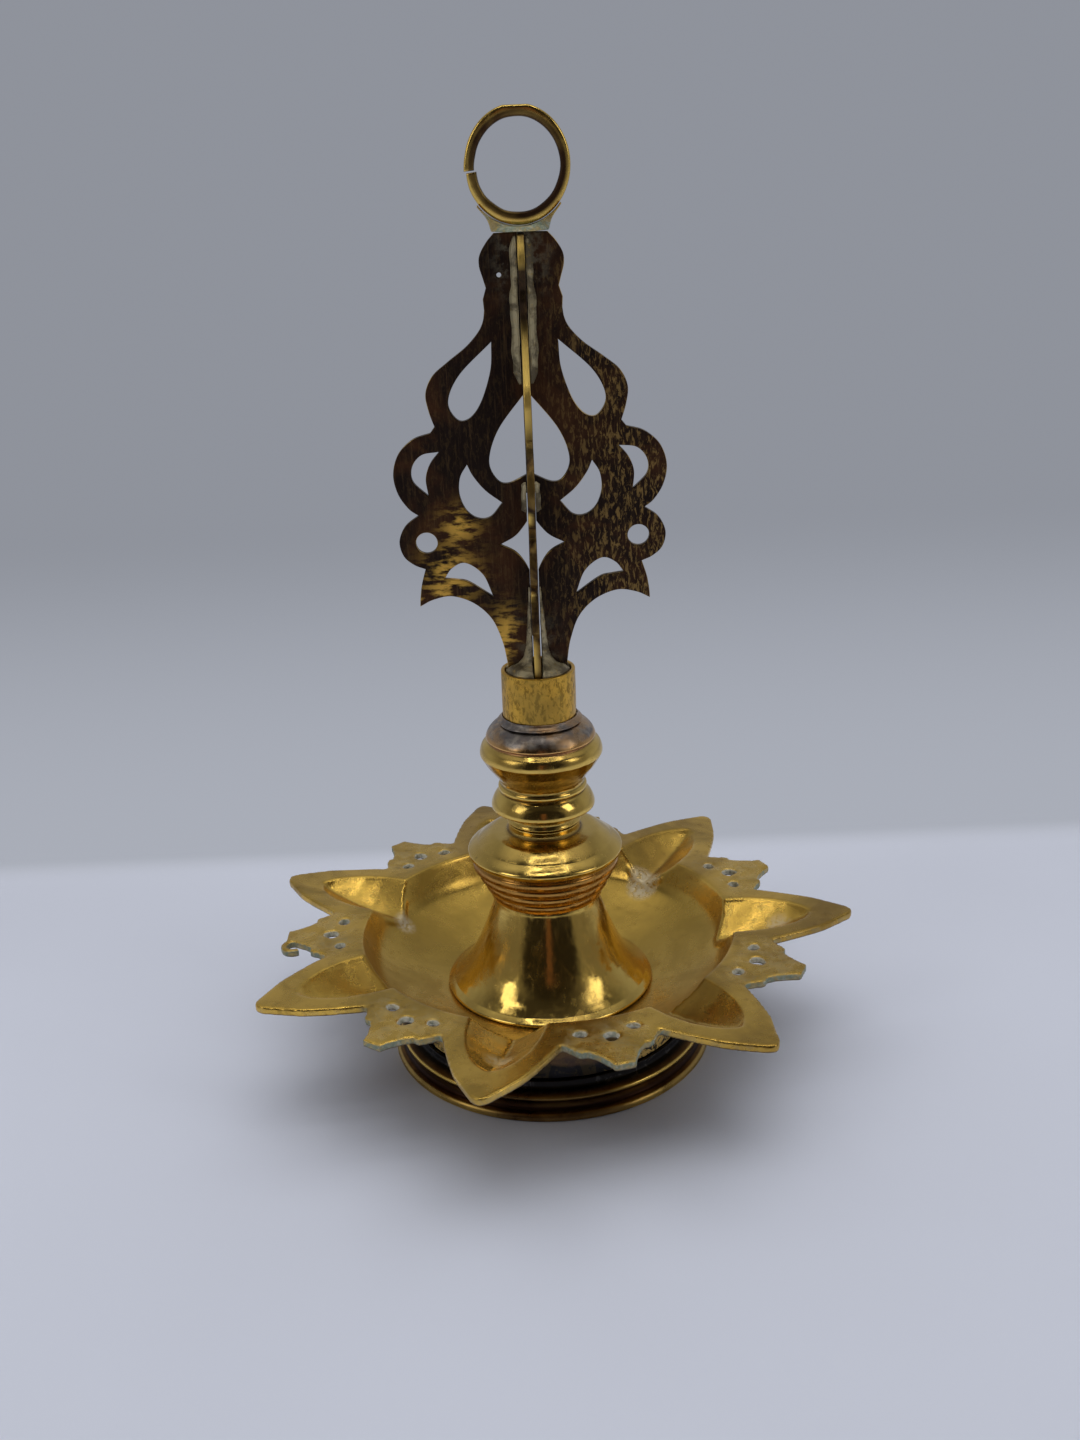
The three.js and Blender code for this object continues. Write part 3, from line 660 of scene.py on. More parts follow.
def cast_finish(colours):
    """The pan: worn gold rim, duller dish, and a grey-green crust with lime on the crests; faces that look
    down are darkened as painted shade.
    """
    finish = Finish("cast_brass")
    gold = colours.cast
    cloud = finish.noise(38, 4, 0.6, 0.6)
    grain = finish.noise(260, 6, 0.7)
    pits = finish.noise(700, 3, 0.6)
    bright, dull = shade(gold, 1.12), shade(gold, 0.70, CAST_SHADE, 0.2)
    base = finish.mixed(finish.between(cloud, 0.35, 0.68), bright, dull)
    base = finish.mixed(finish.between(grain, 0.54, 0.72, 0, 0.4), base, CAST_GRAIN)
    stains = finish.noise(17, 4, 0.65, 1.2)
    base = finish.mixed(finish.between(stains, 0.46, 0.66, 0, 0.5), base, CAST_STAIN)
    well = finish.between(finish.attribute("well"), 0.2, 0.9, 0, 0.55)
    base = finish.mixed(well, base, shade(gold, 0.92, WELL_OLIVE, 0.3))
    crust = finish.attribute("crust")
    patches = finish.between(finish.noise(190, 5, 0.7, 0.5), 0.42, 0.62)
    coverage = finish.math("ADD", patches, finish.between(crust, 0.45, 0.95, 0, 0.55))
    crusted = finish.times(crust, coverage, clamp=True)
    crust_colour = finish.mixed(finish.between(pits, 0.45, 0.7), colours.verdigris, PALE_CRUST)
    base = finish.mixed(crusted, base, crust_colour)
    chalk = finish.times(finish.attribute("chalk"), finish.between(pits, 0.35, 0.55, 0.3, 1))
    base = finish.mixed(chalk, base, LIME)
    crusted = finish.math("MAXIMUM", crusted, chalk)
    # Painted shade: faces that look down are darkened, standing in for the shade under the pan and its
    # gutters.
    below = finish.between(finish.attribute("below"), 0.3, 0.8, 0, 0.75)
    base = finish.mixed(below, base, CAST_UNDERSIDE_SHADE)
    roughness = finish.between(cloud, 0.3, 0.7, 0.17, 0.34)
    roughness = finish.math("ADD", roughness, finish.between(grain, 0.45, 0.8, 0, 0.14))
    roughness = finish.plus(roughness, crusted, 0.35, clamp=True)
    metallic = finish.math("SUBTRACT", 0.94, finish.times(crusted, 0.80))
    finish.bump(finish.noise(80, 2), 0.4 * MM, 0.5)
    finish.bump(grain, 0.12 * MM, 0.6)
    finish.bump(finish.times(crusted, pits), 0.5 * MM, 0.8)
    return finish.wire(base, roughness, metallic)


def foot_finish(colours):
    """The foot: brown all over but for the rubbed crowns of its beads, which turn gold only on the left and
    right flanks as painted highlight, and sooty at its top.
    """
    finish = Finish("foot_brass")
    cloud = finish.noise(50, 4, 0.6, 0.5)
    spots = finish.noise(300, 5, 0.65)
    base = finish.mixed(finish.between(cloud, 0.36, 0.64), FOOT_DARK, FOOT_LIGHT)
    base = finish.mixed(finish.between(spots, 0.56, 0.74, 0, 0.6), base, FOOT_SPOT)
    hollow = finish.between(finish.attribute("hollow"), 0.05, 0.5)
    base = finish.mixed(hollow, base, FOOT_GROOVE)
    crowns = finish.between(finish.attribute("proud"), 0.3, 0.6)
    # Painted highlight: the crowns turn gold only where the side mark is high, on the flanks, standing in for
    # glints of the side lamps.
    bright = finish.times(crowns, finish.between(cloud, 0.3, 0.5, 0.5, 1))
    bright = finish.times(bright, finish.attribute("rubbed"))
    base = finish.mixed(bright, base, shade(colours.polished, 0.95))
    sooty = finish.between(finish.along("Z"), 7.8 * MM, 8.6 * MM)
    flecks = finish.between(finish.noise(230, 5, 0.75, 0.8), 0.55, 0.62)
    base = finish.mixed(sooty, base, finish.mixed(flecks, colours.soot, SOOT_FLECK))
    roughness = finish.between(cloud, 0.3, 0.7, 0.26, 0.40)
    roughness = finish.math("SUBTRACT", roughness, finish.times(bright, 0.08))
    finish.bump(spots, 0.05 * MM, 0.5)
    finish.bump(finish.noise(120, 2), 0.2 * MM, 0.6)
    return finish.wire(base, roughness)


def tarnished_finish(colours):
    """The plates: brown-black skin brushed along their height, rubbed through to gold on the edges; the right
    side of the front edge's bare stretches stays dark low down as painted shade.
    """
    finish = Finish("tarnished_brass")
    brushed = finish.noise((1500, 1500, 55), 6, 0.75)
    cloud = finish.noise(42, 4, 0.65, 0.8)
    streak = finish.noise((150, 150, 420), 4, 0.6)
    base = finish.mixed(finish.between(cloud, 0.40, 0.64), colours.tarnish, RED_TARNISH)
    base = finish.mixed(finish.between(brushed, 0.52, 0.72, 0, 0.55), base, BRUSHED_BROWN)
    scuffs = finish.between(finish.noise((900, 900, 300), 5, 0.7, 0.6), 0.50, 0.60)
    scuffs = finish.times(scuffs, finish.between(finish.along("X"), 0, 26 * MM, 0.08, 0.75))
    base = finish.mixed(scuffs, base, SCUFFED_GOLD)
    rubbed = finish.times(finish.attribute("rubbed"), finish.between(streak, 0.44, 0.60), clamp=True)
    base = finish.mixed(rubbed, base, shade(colours.polished, 0.9, ORANGE_GOLD, 0.4))
    edge = finish.times(finish.attribute("edge"), finish.between(cloud, 0.48, 0.60, 0.05, 0.9))
    base = finish.mixed(edge, base, colours.polished)
    # Bare stretches of the front edge, which are real wear, with their lower right side left dark as painted
    # shade by the lit_side factor.
    base = finish.mixed(finish.attribute("worn"), base, colours.polished)
    patches = finish.between(finish.noise(230, 5, 0.7), 0.45, 0.62)
    crust = finish.times(finish.attribute("crust"), patches)
    base = finish.mixed(crust, base, shade(colours.solder, 0.8))
    roughness = finish.between(brushed, 0.3, 0.7, 0.52, 0.36)
    roughness = finish.math("SUBTRACT", roughness, finish.times(edge, 0.12))
    roughness = finish.plus(roughness, crust, 0.25)
    finish.bump(brushed, 0.08 * MM, 0.6)
    finish.bump(cloud, 0.3 * MM, 0.4)
    return finish.wire(base, roughness, 0.92)


def drum_finish(colours):
    """The drum: red-brown above, sooty below, with flecks of gold where it was rubbed, shown only on the
    flanks as painted highlight.
    """
    finish = Finish("dark_drum")
    cloud = finish.noise(55, 4, 0.65, 0.9)
    flecks = finish.noise(190, 4, 0.7, 0.8)
    upper = finish.between(finish.wavy_height(cloud, 10 * MM), 15.5 * MM, 17.5 * MM)
    base = finish.mixed(upper, colours.soot, DRUM_BROWN)
    base = finish.mixed(finish.between(cloud, 0.5, 0.68, 0, 0.5), base, DRUM_BLUE)
    # The gold flecks are real; keeping them to the left and right flanks paints the glints of the side lamps
    # on them.
    aside = finish.math("ABSOLUTE", finish.along("X"), 0.0)
    rubbed = finish.between(aside, 12 * MM, 24 * MM, 0.06, 1.0)
    gold = finish.times(finish.between(flecks, 0.47, 0.52), rubbed)
    base = finish.mixed(gold, base, shade(colours.cast, 1.25, FLECK_GOLD, 0.25))
    roughness = finish.between(flecks, 0.3, 0.7, 0.42, 0.62)
    finish.bump(flecks, 0.3 * MM, 0.7)
    finish.bump(cloud, 0.8 * MM, 0.4)
    return finish.wire(base, roughness, 0.6)


def solder_finish(colours):
    """Dull lead-grey solder, yellower on its lumps and brown in its pits."""
    finish = Finish("solder")
    lumps = finish.noise(170, 5, 0.65, 0.4)
    fine = finish.noise(620, 4, 0.6)
    pit, lump = shade(colours.solder, 0.40, SOLDER_DIRT, 0.35), shade(colours.solder, 1.2, SOLDER_YELLOW, 0.3)
    base = finish.mixed(finish.between(lumps, 0.42, 0.60), pit, lump)
    base = finish.mixed(finish.between(fine, 0.55, 0.75, 0, 0.6), base, shade(colours.cast, 0.7))
    finish.bump(lumps, 0.4 * MM, 0.6)
    finish.bump(fine, 0.1 * MM, 0.5)
    return finish.wire(base, finish.between(lumps, 0.3, 0.7, 0.62, 0.40), 0.6)


def finish_named(name):
    """Each finish is made once and shared."""
    found = bpy.data.materials.get("lamp_" + name)
    if found:
        return found
    chosen = bpy.context.scene.lamp_finishes
    colours = SimpleNamespace(**{key: tuple(getattr(chosen, key)) for key in LampFinishes.__annotations__})
    gold = colours.polished
    makers = {
        "polished_brass": lambda: polished_finish(name, gold),
        "shouldered_brass": lambda: polished_finish(name, gold, patina=True),
        "copper_brass": lambda: polished_finish(name, colours.copper, COPPER_BROWN, (0.13, 0.30)),
        "collar_brass": lambda: polished_finish(name, COLLAR_GOLD, rough=(0.30, 0.46), mottled=True),
        "ring_brass": lambda: polished_finish(name, gold, RING_BROWN, (0.16, 0.34)),
        "foot_brass": lambda: foot_finish(colours),
        "cast_brass": lambda: cast_finish(colours),
        "tarnished_brass": lambda: tarnished_finish(colours),
        "dark_drum": lambda: drum_finish(colours),
        "solder": lambda: solder_finish(colours),
    }
    return makers[name]()


def dressed(made, name):
    made.data.materials.clear()
    made.data.materials.append(finish_named(name))


# Outlines shared by the pan's parts, in millimetres: along a spout's or crest's own line, and across it

SPOUT_SIDE = [
    [(100.3, 0.0), (100.0, 1.1), (99.0, 2.5), (97.5, 3.7), (93.5, 6.7), (89.0, 9.9), (84.0, 12.4),
     (79.0, 14.6), (74.0, 16.6), (70.6, 17.8)],
]
CREST_SIDE = [
    [(71.2, 14.4), (72.1, 14.2), (73.0, 13.2)],
    [(74.1, 12.9), (74.6, 11.8)],
    [(75.9, 11.9), (76.3, 11.0)],
    [(77.3, 10.5), (77.2, 9.4)],
    [(76.7, 8.8), (76.9, 8.2)],
    [(77.9, 7.9), (78.6, 6.9), (81.0, 5.4), (83.5, 4.0), (85.9, 3.1)],
]
CREST_HOLES = [
    [(74.0, -1.0), (73.3, 1.3), (70.9, 2.6), (68.9, 1.0), (70.1, -1.9)],
    [(69.5, 7.2), (69.0, 9.6), (67.2, 10.0), (66.1, 8.0), (67.2, 6.0)],
    [(69.0, -6.1), (69.5, -8.4), (67.6, -10.2), (66.1, -8.6), (66.7, -6.3)],
]
HOLE_MIDDLES = ((71.3, 0.4), (67.7, 8.1), (67.7, -8.2))

# Spots of lime: radius, degrees from +X, how far it reaches, how dense it is
LIME_SPOTS = ((57, 52.18, 7, 0.55), (55, 155.03, 4.5, 0.6), (74, -102.11, 5.5, 0.4), (76, 0.75, 5, 0.35))

# One crest's tip ends in a broken loop: its middle along and across the crest, outer and inner radius
BROKEN_LOOP = (83.2, 6.4, 4.1, 2.3)
LOOP_CREST = 180.75

# A spout's channel from its tip inwards: distance from the axis, half width, depth
CHANNEL_LEAF = [
    (86.4, 0.3, 0.2), (86.2, 0.7, 0.4), (84.2, 3.7, 2.0), (80.6, 6.5, 3.5), (75.2, 9.2, 5.3),
    (68.2, 10.9, 7.3), (62.0, 11.4, 8.4),
]
CHUTE_LIP_RADIUS = 54.2
CHUTE_HALF_WIDTH = 11.4
CHUTE_DEPTH = 9.4


def turned_point(along, across, degrees):
    a = math.radians(degrees)
    return (along * math.cos(a) - across * math.sin(a), along * math.sin(a) + across * math.cos(a))


def side_points(runs, step=0.8):
    """Points through the smooth runs of an outline, each from where the last one ends."""
    out, start = [], []
    for run in runs:
        out += through([*start, *run], step)[len(start):]
        start = [run[-1]]
    return out


def star_outline():
    """The star seen from above: each spout's two sides, then the crest's after it."""
    outline = []
    spout, crest = side_points(SPOUT_SIDE), side_points(CREST_SIDE)
    for k in range(SPOUT_COUNT):
        a = FIRST_SPOUT + k * PITCH
        outline += [turned_point(x, -y, a) for x, y in reversed(spout[1:])]
        outline += [turned_point(x, y, a) for x, y in spout]
        outline += [turned_point(x, -y, a + PITCH / 2) for x, y in crest]
        outline += [turned_point(x, y, a + PITCH / 2) for x, y in reversed(crest)]
    return outline


def prism(name, outline, low, high):
    """Closed prism over a flat outline."""
    count = len(outline)
    points = [(x * MM, y * MM, z * MM) for z in (low, high) for x, y in outline]
    faces = [tuple(range(count))[::-1], tuple(range(count, 2 * count))]
    faces += [(i, (i + 1) % count, count + (i + 1) % count, count + i) for i in range(count)]
    return clean(new_object(name, points, faces))


def lathe_solid(name, profile, steps=144):
    """Solid of revolution with a flat face at the first and the last (radius, height) of its profile."""
    angles = np.linspace(0, 2 * math.pi, steps, endpoint=False)
    points = [(r * math.cos(a) * MM, r * math.sin(a) * MM, z * MM) for a in angles for r, z in profile]
    count = len(profile)
    faces = []
    for k in range(steps):
        here, after = k * count, ((k + 1) % steps) * count
        faces += [(here + i, after + i, after + i + 1, here + i + 1) for i in range(count - 1)]
    faces.append(tuple(k * count for k in range(steps))[::-1])
    faces.append(tuple(k * count + count - 1 for k in range(steps)))
    return clean(new_object(name, points, faces))


def trough(name, grow, inner_end, lean):
    """A spout's channel, V-shaped across and deepening inwards; grown, it is the spout's hull."""
    leaf = np.array(CHANNEL_LEAF)
    marks = np.linspace(0, len(leaf) - 1, 25)
    knots = np.arange(len(leaf))
    smooth = [tuple(np.interp(m, knots, leaf[:, c]) for c in range(3)) for m in marks]
    top = RIM_TOP - 0.2 if grow > 0 else RIM_TOP + CUT_ROOM
    lip = RIM_TOP - 0.4
    across_steps = 20
    steepness = 1.15
    rings = []

    def section(along, half, depth, tilt):
        ring = [(along + tilt, -half, top)]
        for i in range(across_steps + 1):
            share = 2 * i / across_steps - 1
            drop = 1 - abs(share) ** steepness
            ring.append((along + tilt * (1 - drop), share * half, lip - depth * drop))
        ring.append((along + tilt, half, top))
        return ring

    for k, (along, half, depth) in enumerate(smooth):
        rings.append(section(along + (grow if k == 0 else 0), half + grow, depth + grow, 0))
    rings.append(section(inner_end, CHUTE_HALF_WIDTH + grow, CHUTE_DEPTH + grow, lean))
    points = [(x * MM, y * MM, z * MM) for ring in rings for x, y, z in ring]
    made = skinned(name, points, len(rings[0]))
    with opened(made) as work:
        bmesh.ops.triangulate(work, faces=work.faces)
    return clean(made)


def nearest_spout(points):
    """Each point's distance from the axis in millimetres, and its degrees off the nearest spout's line."""
    x, y = points[:, 0] / MM, points[:, 1] / MM
    radius = np.hypot(x, y)
    angle = np.degrees(np.arctan2(y, x)) - FIRST_SPOUT
    return radius, (angle + PITCH / 2) % PITCH - PITCH / 2


# Pieces

class LAMP_OT_pan(bpy.types.Operator):
    """Casts the star-shaped oil pan with its spouts, crests and piercings"""

    bl_idname = "lamp.pan"
    bl_label = "Star pan"

    def execute(self, context):
        sizes = context.scene.lamp_sizes
        pan = prism("star_pan_shape", star_outline(), RIM_TOP - RIM_THICKNESS, RIM_TOP)
        combined(pan, self.dish_outside(), "UNION")
        combined(pan, self.dish_inside(), "DIFFERENCE")
        combined(pan, self.broken_loop(), "UNION")
        lean = DISH_RADIUS - CHUTE_LIP_RADIUS
        hull = trough("hulls", HULL_WALL, CHUTE_LIP_RADIUS, lean)
        combined(pan, round_the_axis(hull, SPOUT_COUNT, FIRST_SPOUT), "UNION")
        channel = trough("channels", 0, CHUTE_LIP_RADIUS - 3, lean)
        combined(pan, round_the_axis(channel, SPOUT_COUNT, FIRST_SPOUT), "DIFFERENCE")
        for k, hole in enumerate(CREST_HOLES):
            line = through([*hole, hole[0]], 0.5)[:-1]
            cutter = prism(f"piercings_{k}", line, RIM_TOP - RIM_THICKNESS - 1, RIM_TOP + 1)
            combined(pan, round_the_axis(cutter, SPOUT_COUNT, FIRST_CREST), "DIFFERENCE")
        bore = lathe_solid("pan_bore", [(BORE_RADIUS, 18), (BORE_RADIUS, 23)], 48)
        combined(pan, bore, "DIFFERENCE")
        soften(pan, sizes.cast_grain, 3)
        uneven(pan, sizes.unevenness, 38, 1.7)
        thin_out(pan, MOST_TRIANGLES)
        self.describe(pan)
        pan.name = "cast_star_pan"
        dressed(pan, "cast_brass")
        in_place(pan, "cast_brass", "star_pan")
        return {"FINISHED"}

    def dish_inside(self):
        over = RIM_TOP + CUT_ROOM
        rise = through([(DISH_FLAT, DISH_FLOOR), (48, 26.6), (53, 29.0), (56, 31.0), (57.6, 33.2)], 1.0)
        return lathe_solid("dish_inside", [
            (20, DISH_FLOOR), *rise, (DISH_RADIUS, RIM_TOP), (DISH_RADIUS, over),
        ])

    def dish_outside(self):
        edge = DISH_RADIUS + CAST_WALL
        return lathe_solid("dish_outside", [
            (DISH_FLAT, DISH_FLOOR - CAST_WALL), (56, 28.7), (59.4, 31.1), (edge, 38.2),
            (edge, RIM_TOP - 0.5),
        ])

    def broken_loop(self):
        """One crest's tip ends in a small open loop."""
        along, across, outer, inner = BROKEN_LOOP
        turns = np.radians(np.linspace(-75, 128, 30))
        line = [(along + outer * math.cos(t), across + outer * math.sin(t)) for t in turns]
        line += [(along + inner * math.cos(t), across + inner * math.sin(t)) for t in reversed(turns)]
        line = [turned_point(x, y, LOOP_CREST) for x, y in line]
        return prism("broken_loop", line, RIM_TOP - RIM_THICKNESS, RIM_TOP)

    def describe(self, pan):
        """Marks where the dish, the crust, the lime and the underside are; the finish darkens the underside
        as painted shade.
        """
        points = coordinates(pan)
        z = points[:, 2] / MM
        radius, off = nearest_spout(points)
        normals = np.empty(len(points) * 3)
        pan.data.vertices.foreach_get("normal", normals)
        up = normals.reshape(-1, 3)[:, 2]
        mark(pan, "well", (radius < DISH_RADIUS - 1) * (up > 0))
        from_crest = np.abs(np.abs(off) - PITCH / 2)
        crest = np.clip((13.5 - from_crest) / 3, 0, 1) * np.clip((radius - DISH_RADIUS - 2) / 3, 0, 1)
        side = 1 - np.clip((up - 0.2) / 0.6, 0, 1)
        rim_edge = side * (radius > DISH_RADIUS + 1) * (z > RIM_TOP - 4)
        mark(pan, "crust", crest * (0.24 + 0.9 * side) + 0.25 * rim_edge)
        turn = np.radians(off + PITCH / 2 - PITCH * (off > 0))
        along, aside = radius * np.cos(turn), radius * np.sin(turn)
        walls = [np.clip((3.3 - np.hypot(along - u, aside - v)) / 0.7, 0, 1) for u, v in HOLE_MIDDLES]
        white = np.maximum.reduce(walls) * np.clip(side * 1.6, 0, 1)
        for distance, degrees, half, strength in LIME_SPOTS:
            u, v = turned_point(distance, 0, degrees)
            near = np.hypot(points[:, 0] / MM - u, points[:, 1] / MM - v)
            white = np.maximum(white, strength * np.clip((half - near) / 3, 0, 1) * (up > 0))
        mark(pan, "chalk", white)
        # Faces that look down, which the finish darkens as painted shade.
        mark(pan, "below", np.clip(-up * 2, 0, 1))


class LAMP_OT_foot(bpy.types.Operator):
    """Turns the foot ring with its two beads"""

    bl_idname = "lamp.foot"
    bl_label = "Foot ring"

    def execute(self, context):
        made = turned("turned_foot", [
            [(52.0, 0)],
            [(52.6, 0.7), (52.5, 1.8), (51.8, 2.6)],
            [(50.2, 2.9), (49.6, 3.8), (49.6, 5.0)],
            [(49.9, 6.0), (50.6, 6.6), (50.7, 7.2), (50.2, 7.8), (49.4, 8.1)],
            [(48.2, 8.5)],
            [(46.8, 8.9), (46.4, 11)],
            [(43.9, 11)],
            [(43.9, 8)],
            [(44.6, 4.4), (47.6, 0)],
        ])
        uneven(made, 0.15 * MM, 30, 4.2, 0.5)
        # Painted highlight: this mark keeps the bead crowns gold on the left and right flanks and dark in a
        # sector facing the front, where no side lamp glints.
        points = coordinates(made)
        from_front = np.abs(np.degrees(np.arctan2(points[:, 0], -points[:, 1])))
        front_sector_without_highlight, fade = 16, 14
        mark(made, "rubbed", np.clip((from_front - front_sector_without_highlight) / fade, 0.12, 1))
        dressed(made, "foot_brass")
        in_place(made, "polished_brass", "foot_ring")
        return {"FINISHED"}


class LAMP_OT_drum(bpy.types.Operator):
    """Rolls the dented drum and its seam of solder under the pan"""

    bl_idname = "lamp.drum"
    bl_label = "Drum"

    def execute(self, context):
        drum = turned("rolled_drum", [
            [(45.5, 11.3)],
            [(45.6, 17), (45.35, 22.8)],
            [(43.9, 22.2)],
            [(43.9, 11.3)],
        ], steps=220)
        uneven(drum, 0.25 * MM, 45, 9.1, 0.2)
        dressed(drum, "dark_drum")
        in_place(drum, "dark_drum", "base_drum")
        seam_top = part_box("drum_seam")[1].z / MM
        seam = turned("drum_solder", [
            [(46.3, -1.9), (47.2, -0.4)],
            [(47.1, -0.1)],
            [(45.8, -0.6)],
            [(45.8, -2.4)],
        ], seam_top, wear=0.15)
        uneven(seam, 0.25 * MM, 160, 5.5, 0.5)
        dressed(seam, "solder")
        in_place(seam, "solder", "drum_seam")
        return {"FINISHED"}


class LAMP_OT_stem(bpy.types.Operator):
    """Turns the trumpet foot, bell and knop of the stem"""

    bl_idname = "lamp.stem"
    bl_label = "Stem"

    def execute(self, context):
        bore = BORE_RADIUS
        trumpet = turned("turned_trumpet", [
            [(33.4, 0)],
            [(33.8, 0.4), (33.4, 1.0)],
            [(31.6, 2.1)],
            [(28.6, 5.0), (25.6, 9.0), (23.1, 13.6), (21.0, 18.6), (18.8, 24.5), (17.1, 29.2),
             (16.6, 31.2)],
            [(bore, 31.2)],
            [(bore, 27.5)],
            [(14.6, 27.5)],
            [(16.8, 22.4), (20.6, 12.4), (25.2, 4.8), (30, 0)],
        ], TRUMPET_BASE, wear=0.12)
        bell = turned("turned_bell", [
            [(22.6, 0)],
            [(24.2, 0.4), (24.75, 1.2), (24.8, 2.2), (24.55, 2.6)],
            [(23.1, 3.75), (21.6, 4.75)],
            [(21.2, 5.2)],
            [(20.0, 6.1), (18.6, 7.05), (17.2, 7.8), (15.6, 8.1), (12.6, 8.2)],
            [(11.7, 8.5)],
            [(11.4, 9.6), (11.6, 11.2)],
            [(bore, 11.2)],
            [(bore, 0)],
        ], BELL_BASE, wear=0.12)
        knop = turned("turned_knop", [
            [(11.5, 0)],
            [(11.95, 0.5), (11.6, 1.1)],
            [(11.3, 2.0), (11.6, 3.4)],
            [(15.8, 4.9)],
            [(16.5, 5.4)],
            [(16.4, 6.6), (15.6, 8.6), (14.4, 10.2), (13.4, 11.0)],
            [(14.0, 11.5), (14.1, 12.1), (13.9, 12.8), (13.3, 13.2)],
            [(13.7, 14.9), (15.6, 17.6), (17.4, 19.9), (19.0, 22.6)],
            [(19.4, 23.3)],
            [(19.3, 24.6), (18.6, 26.4), (17.2, 27.6)],
            [(16.6, 28.2)],
            [(17.3, 28.7), (17.1, 29.6), (16.2, 31.2), (14.8, 32.6), (13.0, 33.6),
             (11.5, 34.1)],
            [(6.3, 34.2)],
            [(6.3, 29.9)],
            [(bore, 29.9)],
            [(bore, 0)],
        ], KNOP_BASE, wear=0.12)
        for made, node in ((trumpet, "trumpet_foot"), (bell, "drip_bell"), (knop, "upper_knop")):
            uneven(made, 0.08 * MM, 60, 2.3, 0.5)
            dressed(made, "shouldered_brass" if made is knop else "polished_brass")
            in_place(made, "polished_brass", node)
        return {"FINISHED"}


def stepped_tree():
    """A turned ring repeated up the axis, each copy wider than the one below."""
    tree = node_group("Stepped rings", [
        ("Count", "NodeSocketInt", 4), ("Pitch", "NodeSocketFloat", 3.5 * MM),
        ("First width", "NodeSocketFloat", 0.77), ("Last width", "NodeSocketFloat", 1.0),
        ("Material", "NodeSocketMaterial", None),
    ])
    start = tree_node(tree, "NodeGroupInput")
    rise = tree_node(tree, "ShaderNodeCombineXYZ", {"Z": start.outputs["Pitch"]})
    line = tree_node(tree, "GeometryNodeMeshLine", {
        "Count": start.outputs["Count"], "Offset": rise.outputs[0],
    })
    place = tree_node(tree, "GeometryNodeInputIndex")
    last = tree_node(tree, "ShaderNodeMath", {0: start.outputs["Count"], 1: 1.0}, operation="SUBTRACT")
    width = tree_node(tree, "ShaderNodeMapRange", {
        "Value": place.outputs[0], "From Max": last.outputs[0],
        "To Min": start.outputs["First width"], "To Max": start.outputs["Last width"],
    })
    scale = tree_node(tree, "ShaderNodeCombineXYZ", {"X": width.outputs[0], "Y": width.outputs[0], "Z": 1.0})
    copies = tree_node(tree, "GeometryNodeInstanceOnPoints", {
        "Points": line.outputs["Mesh"], "Instance": start.outputs["Geometry"], "Scale": scale.outputs[0],
    })
    real = tree_node(tree, "GeometryNodeRealizeInstances", {"Geometry": copies.outputs["Instances"]})
    finish = tree_node(tree, "GeometryNodeSetMaterial", {
        "Geometry": real.outputs["Geometry"], "Material": start.outputs["Material"],
    })
    end = tree_node(tree, "NodeGroupOutput")
    tree.links.new(finish.outputs["Geometry"], end.inputs["Geometry"])
    return tree


class LAMP_OT_spacer(bpy.types.Operator):
    """Stacks the four stepped rings under the bell"""

    bl_idname = "lamp.spacer"
    bl_label = "Stepped rings"

    def execute(self, context):
        lowest, widest, pitch = 18.2, 23.6, 3.5
        made = turned("stacked_rings", [
            [(22.9, 0)],
            [(23.5, 0.4)],
            [(widest, 1.5), (23.4, 2.6)],
            [(22.8, 3.1)],
            [(22.8, pitch)],
            [(BORE_RADIUS, pitch)],
            [(BORE_RADIUS, 0)],
        ], wear=0.1)
        run_tree(made, stepped_tree(), **{
            "Count": 4, "Pitch": pitch * MM, "First width": lowest / widest, "Last width": 1.0,
            "Material": finish_named("copper_brass"),
        })
        put_back(made, coordinates(made) + np.array([0, 0, SPACER_BASE * MM]))
        dressed(made, "copper_brass")
        in_place(made, "copper_brass", "stepped_spacer")
        return {"FINISHED"}


class LAMP_OT_collar(bpy.types.Operator):
    """Makes the collar tube and the solder round its foot"""

    bl_idname = "lamp.collar"
    bl_label = "Collar"

    def execute(self, context):
        height = COLLAR_TOP - COLLAR_BASE
        inner, outer = 10.3, 11.5
        tube = turned("collar_sleeve", [
            [(outer, 0)],
            [(11.55, height / 2), (outer, height)],
            [(inner, height)],
            [(inner, 0)],
        ], COLLAR_BASE)
        uneven(tube, 0.1 * MM, 70, 6.6, 0.6)
        dressed(tube, "collar_brass")
        in_place(tube, "cast_brass", "collar_tube")
        seam = turned("collar_foot_solder", [
            [(13.3, -0.4)],
            [(13.4, -0.1), (12.6, 0.35), (12.0, 0.9), (11.8, 1.7)],
            [(11.8, 0.1)],
        ], COLLAR_BASE, wear=0.12)
        uneven(seam, 0.2 * MM, 210, 3.3, 0.6)
        dressed(seam, "shouldered_brass")
        in_place(seam, "solder", "collar_seam")
        return {"FINISHED"}


# Right half of a plate, in millimetres across the axis and above the collar: its outline from the foot up,
# and its piercings
PLATE_SIDE = [
    [(9.2, -16.3), (9.2, 2)],
    [(10.4, 9), (13.2, 16.4), (18.4, 21.6), (25, 24.2), (30.7, 23.4), (34.9, 21.4)],
    [(34.8, 23.2), (34.6, 25)],
    [(34.0, 28.4), (32.6, 33)],
    [(35.8, 34.4), (38.8, 37.2), (39.8, 41.8), (37.7, 46.3), (33.6, 49.4)],
    [(36.4, 51.6), (39.3, 56.2), (40.4, 62.0), (38.6, 67.8), (34, 72), (28.6, 73.7)],
    [(27.2, 75.5)],
    [(28.7, 80.3), (29.3, 85.3), (27.2, 90), (22.6, 93.8), (16.9, 98), (13.2, 102), (11.7, 105),
     (11.2, 108)],
    [(11.4, 111)],
    [(10.4, 114.1)],
    [(11.2, 117), (12.0, 120), (11.8, 123), (9.8, 126.4), (7.6, 128.8)],
    [(0, 129)],
]
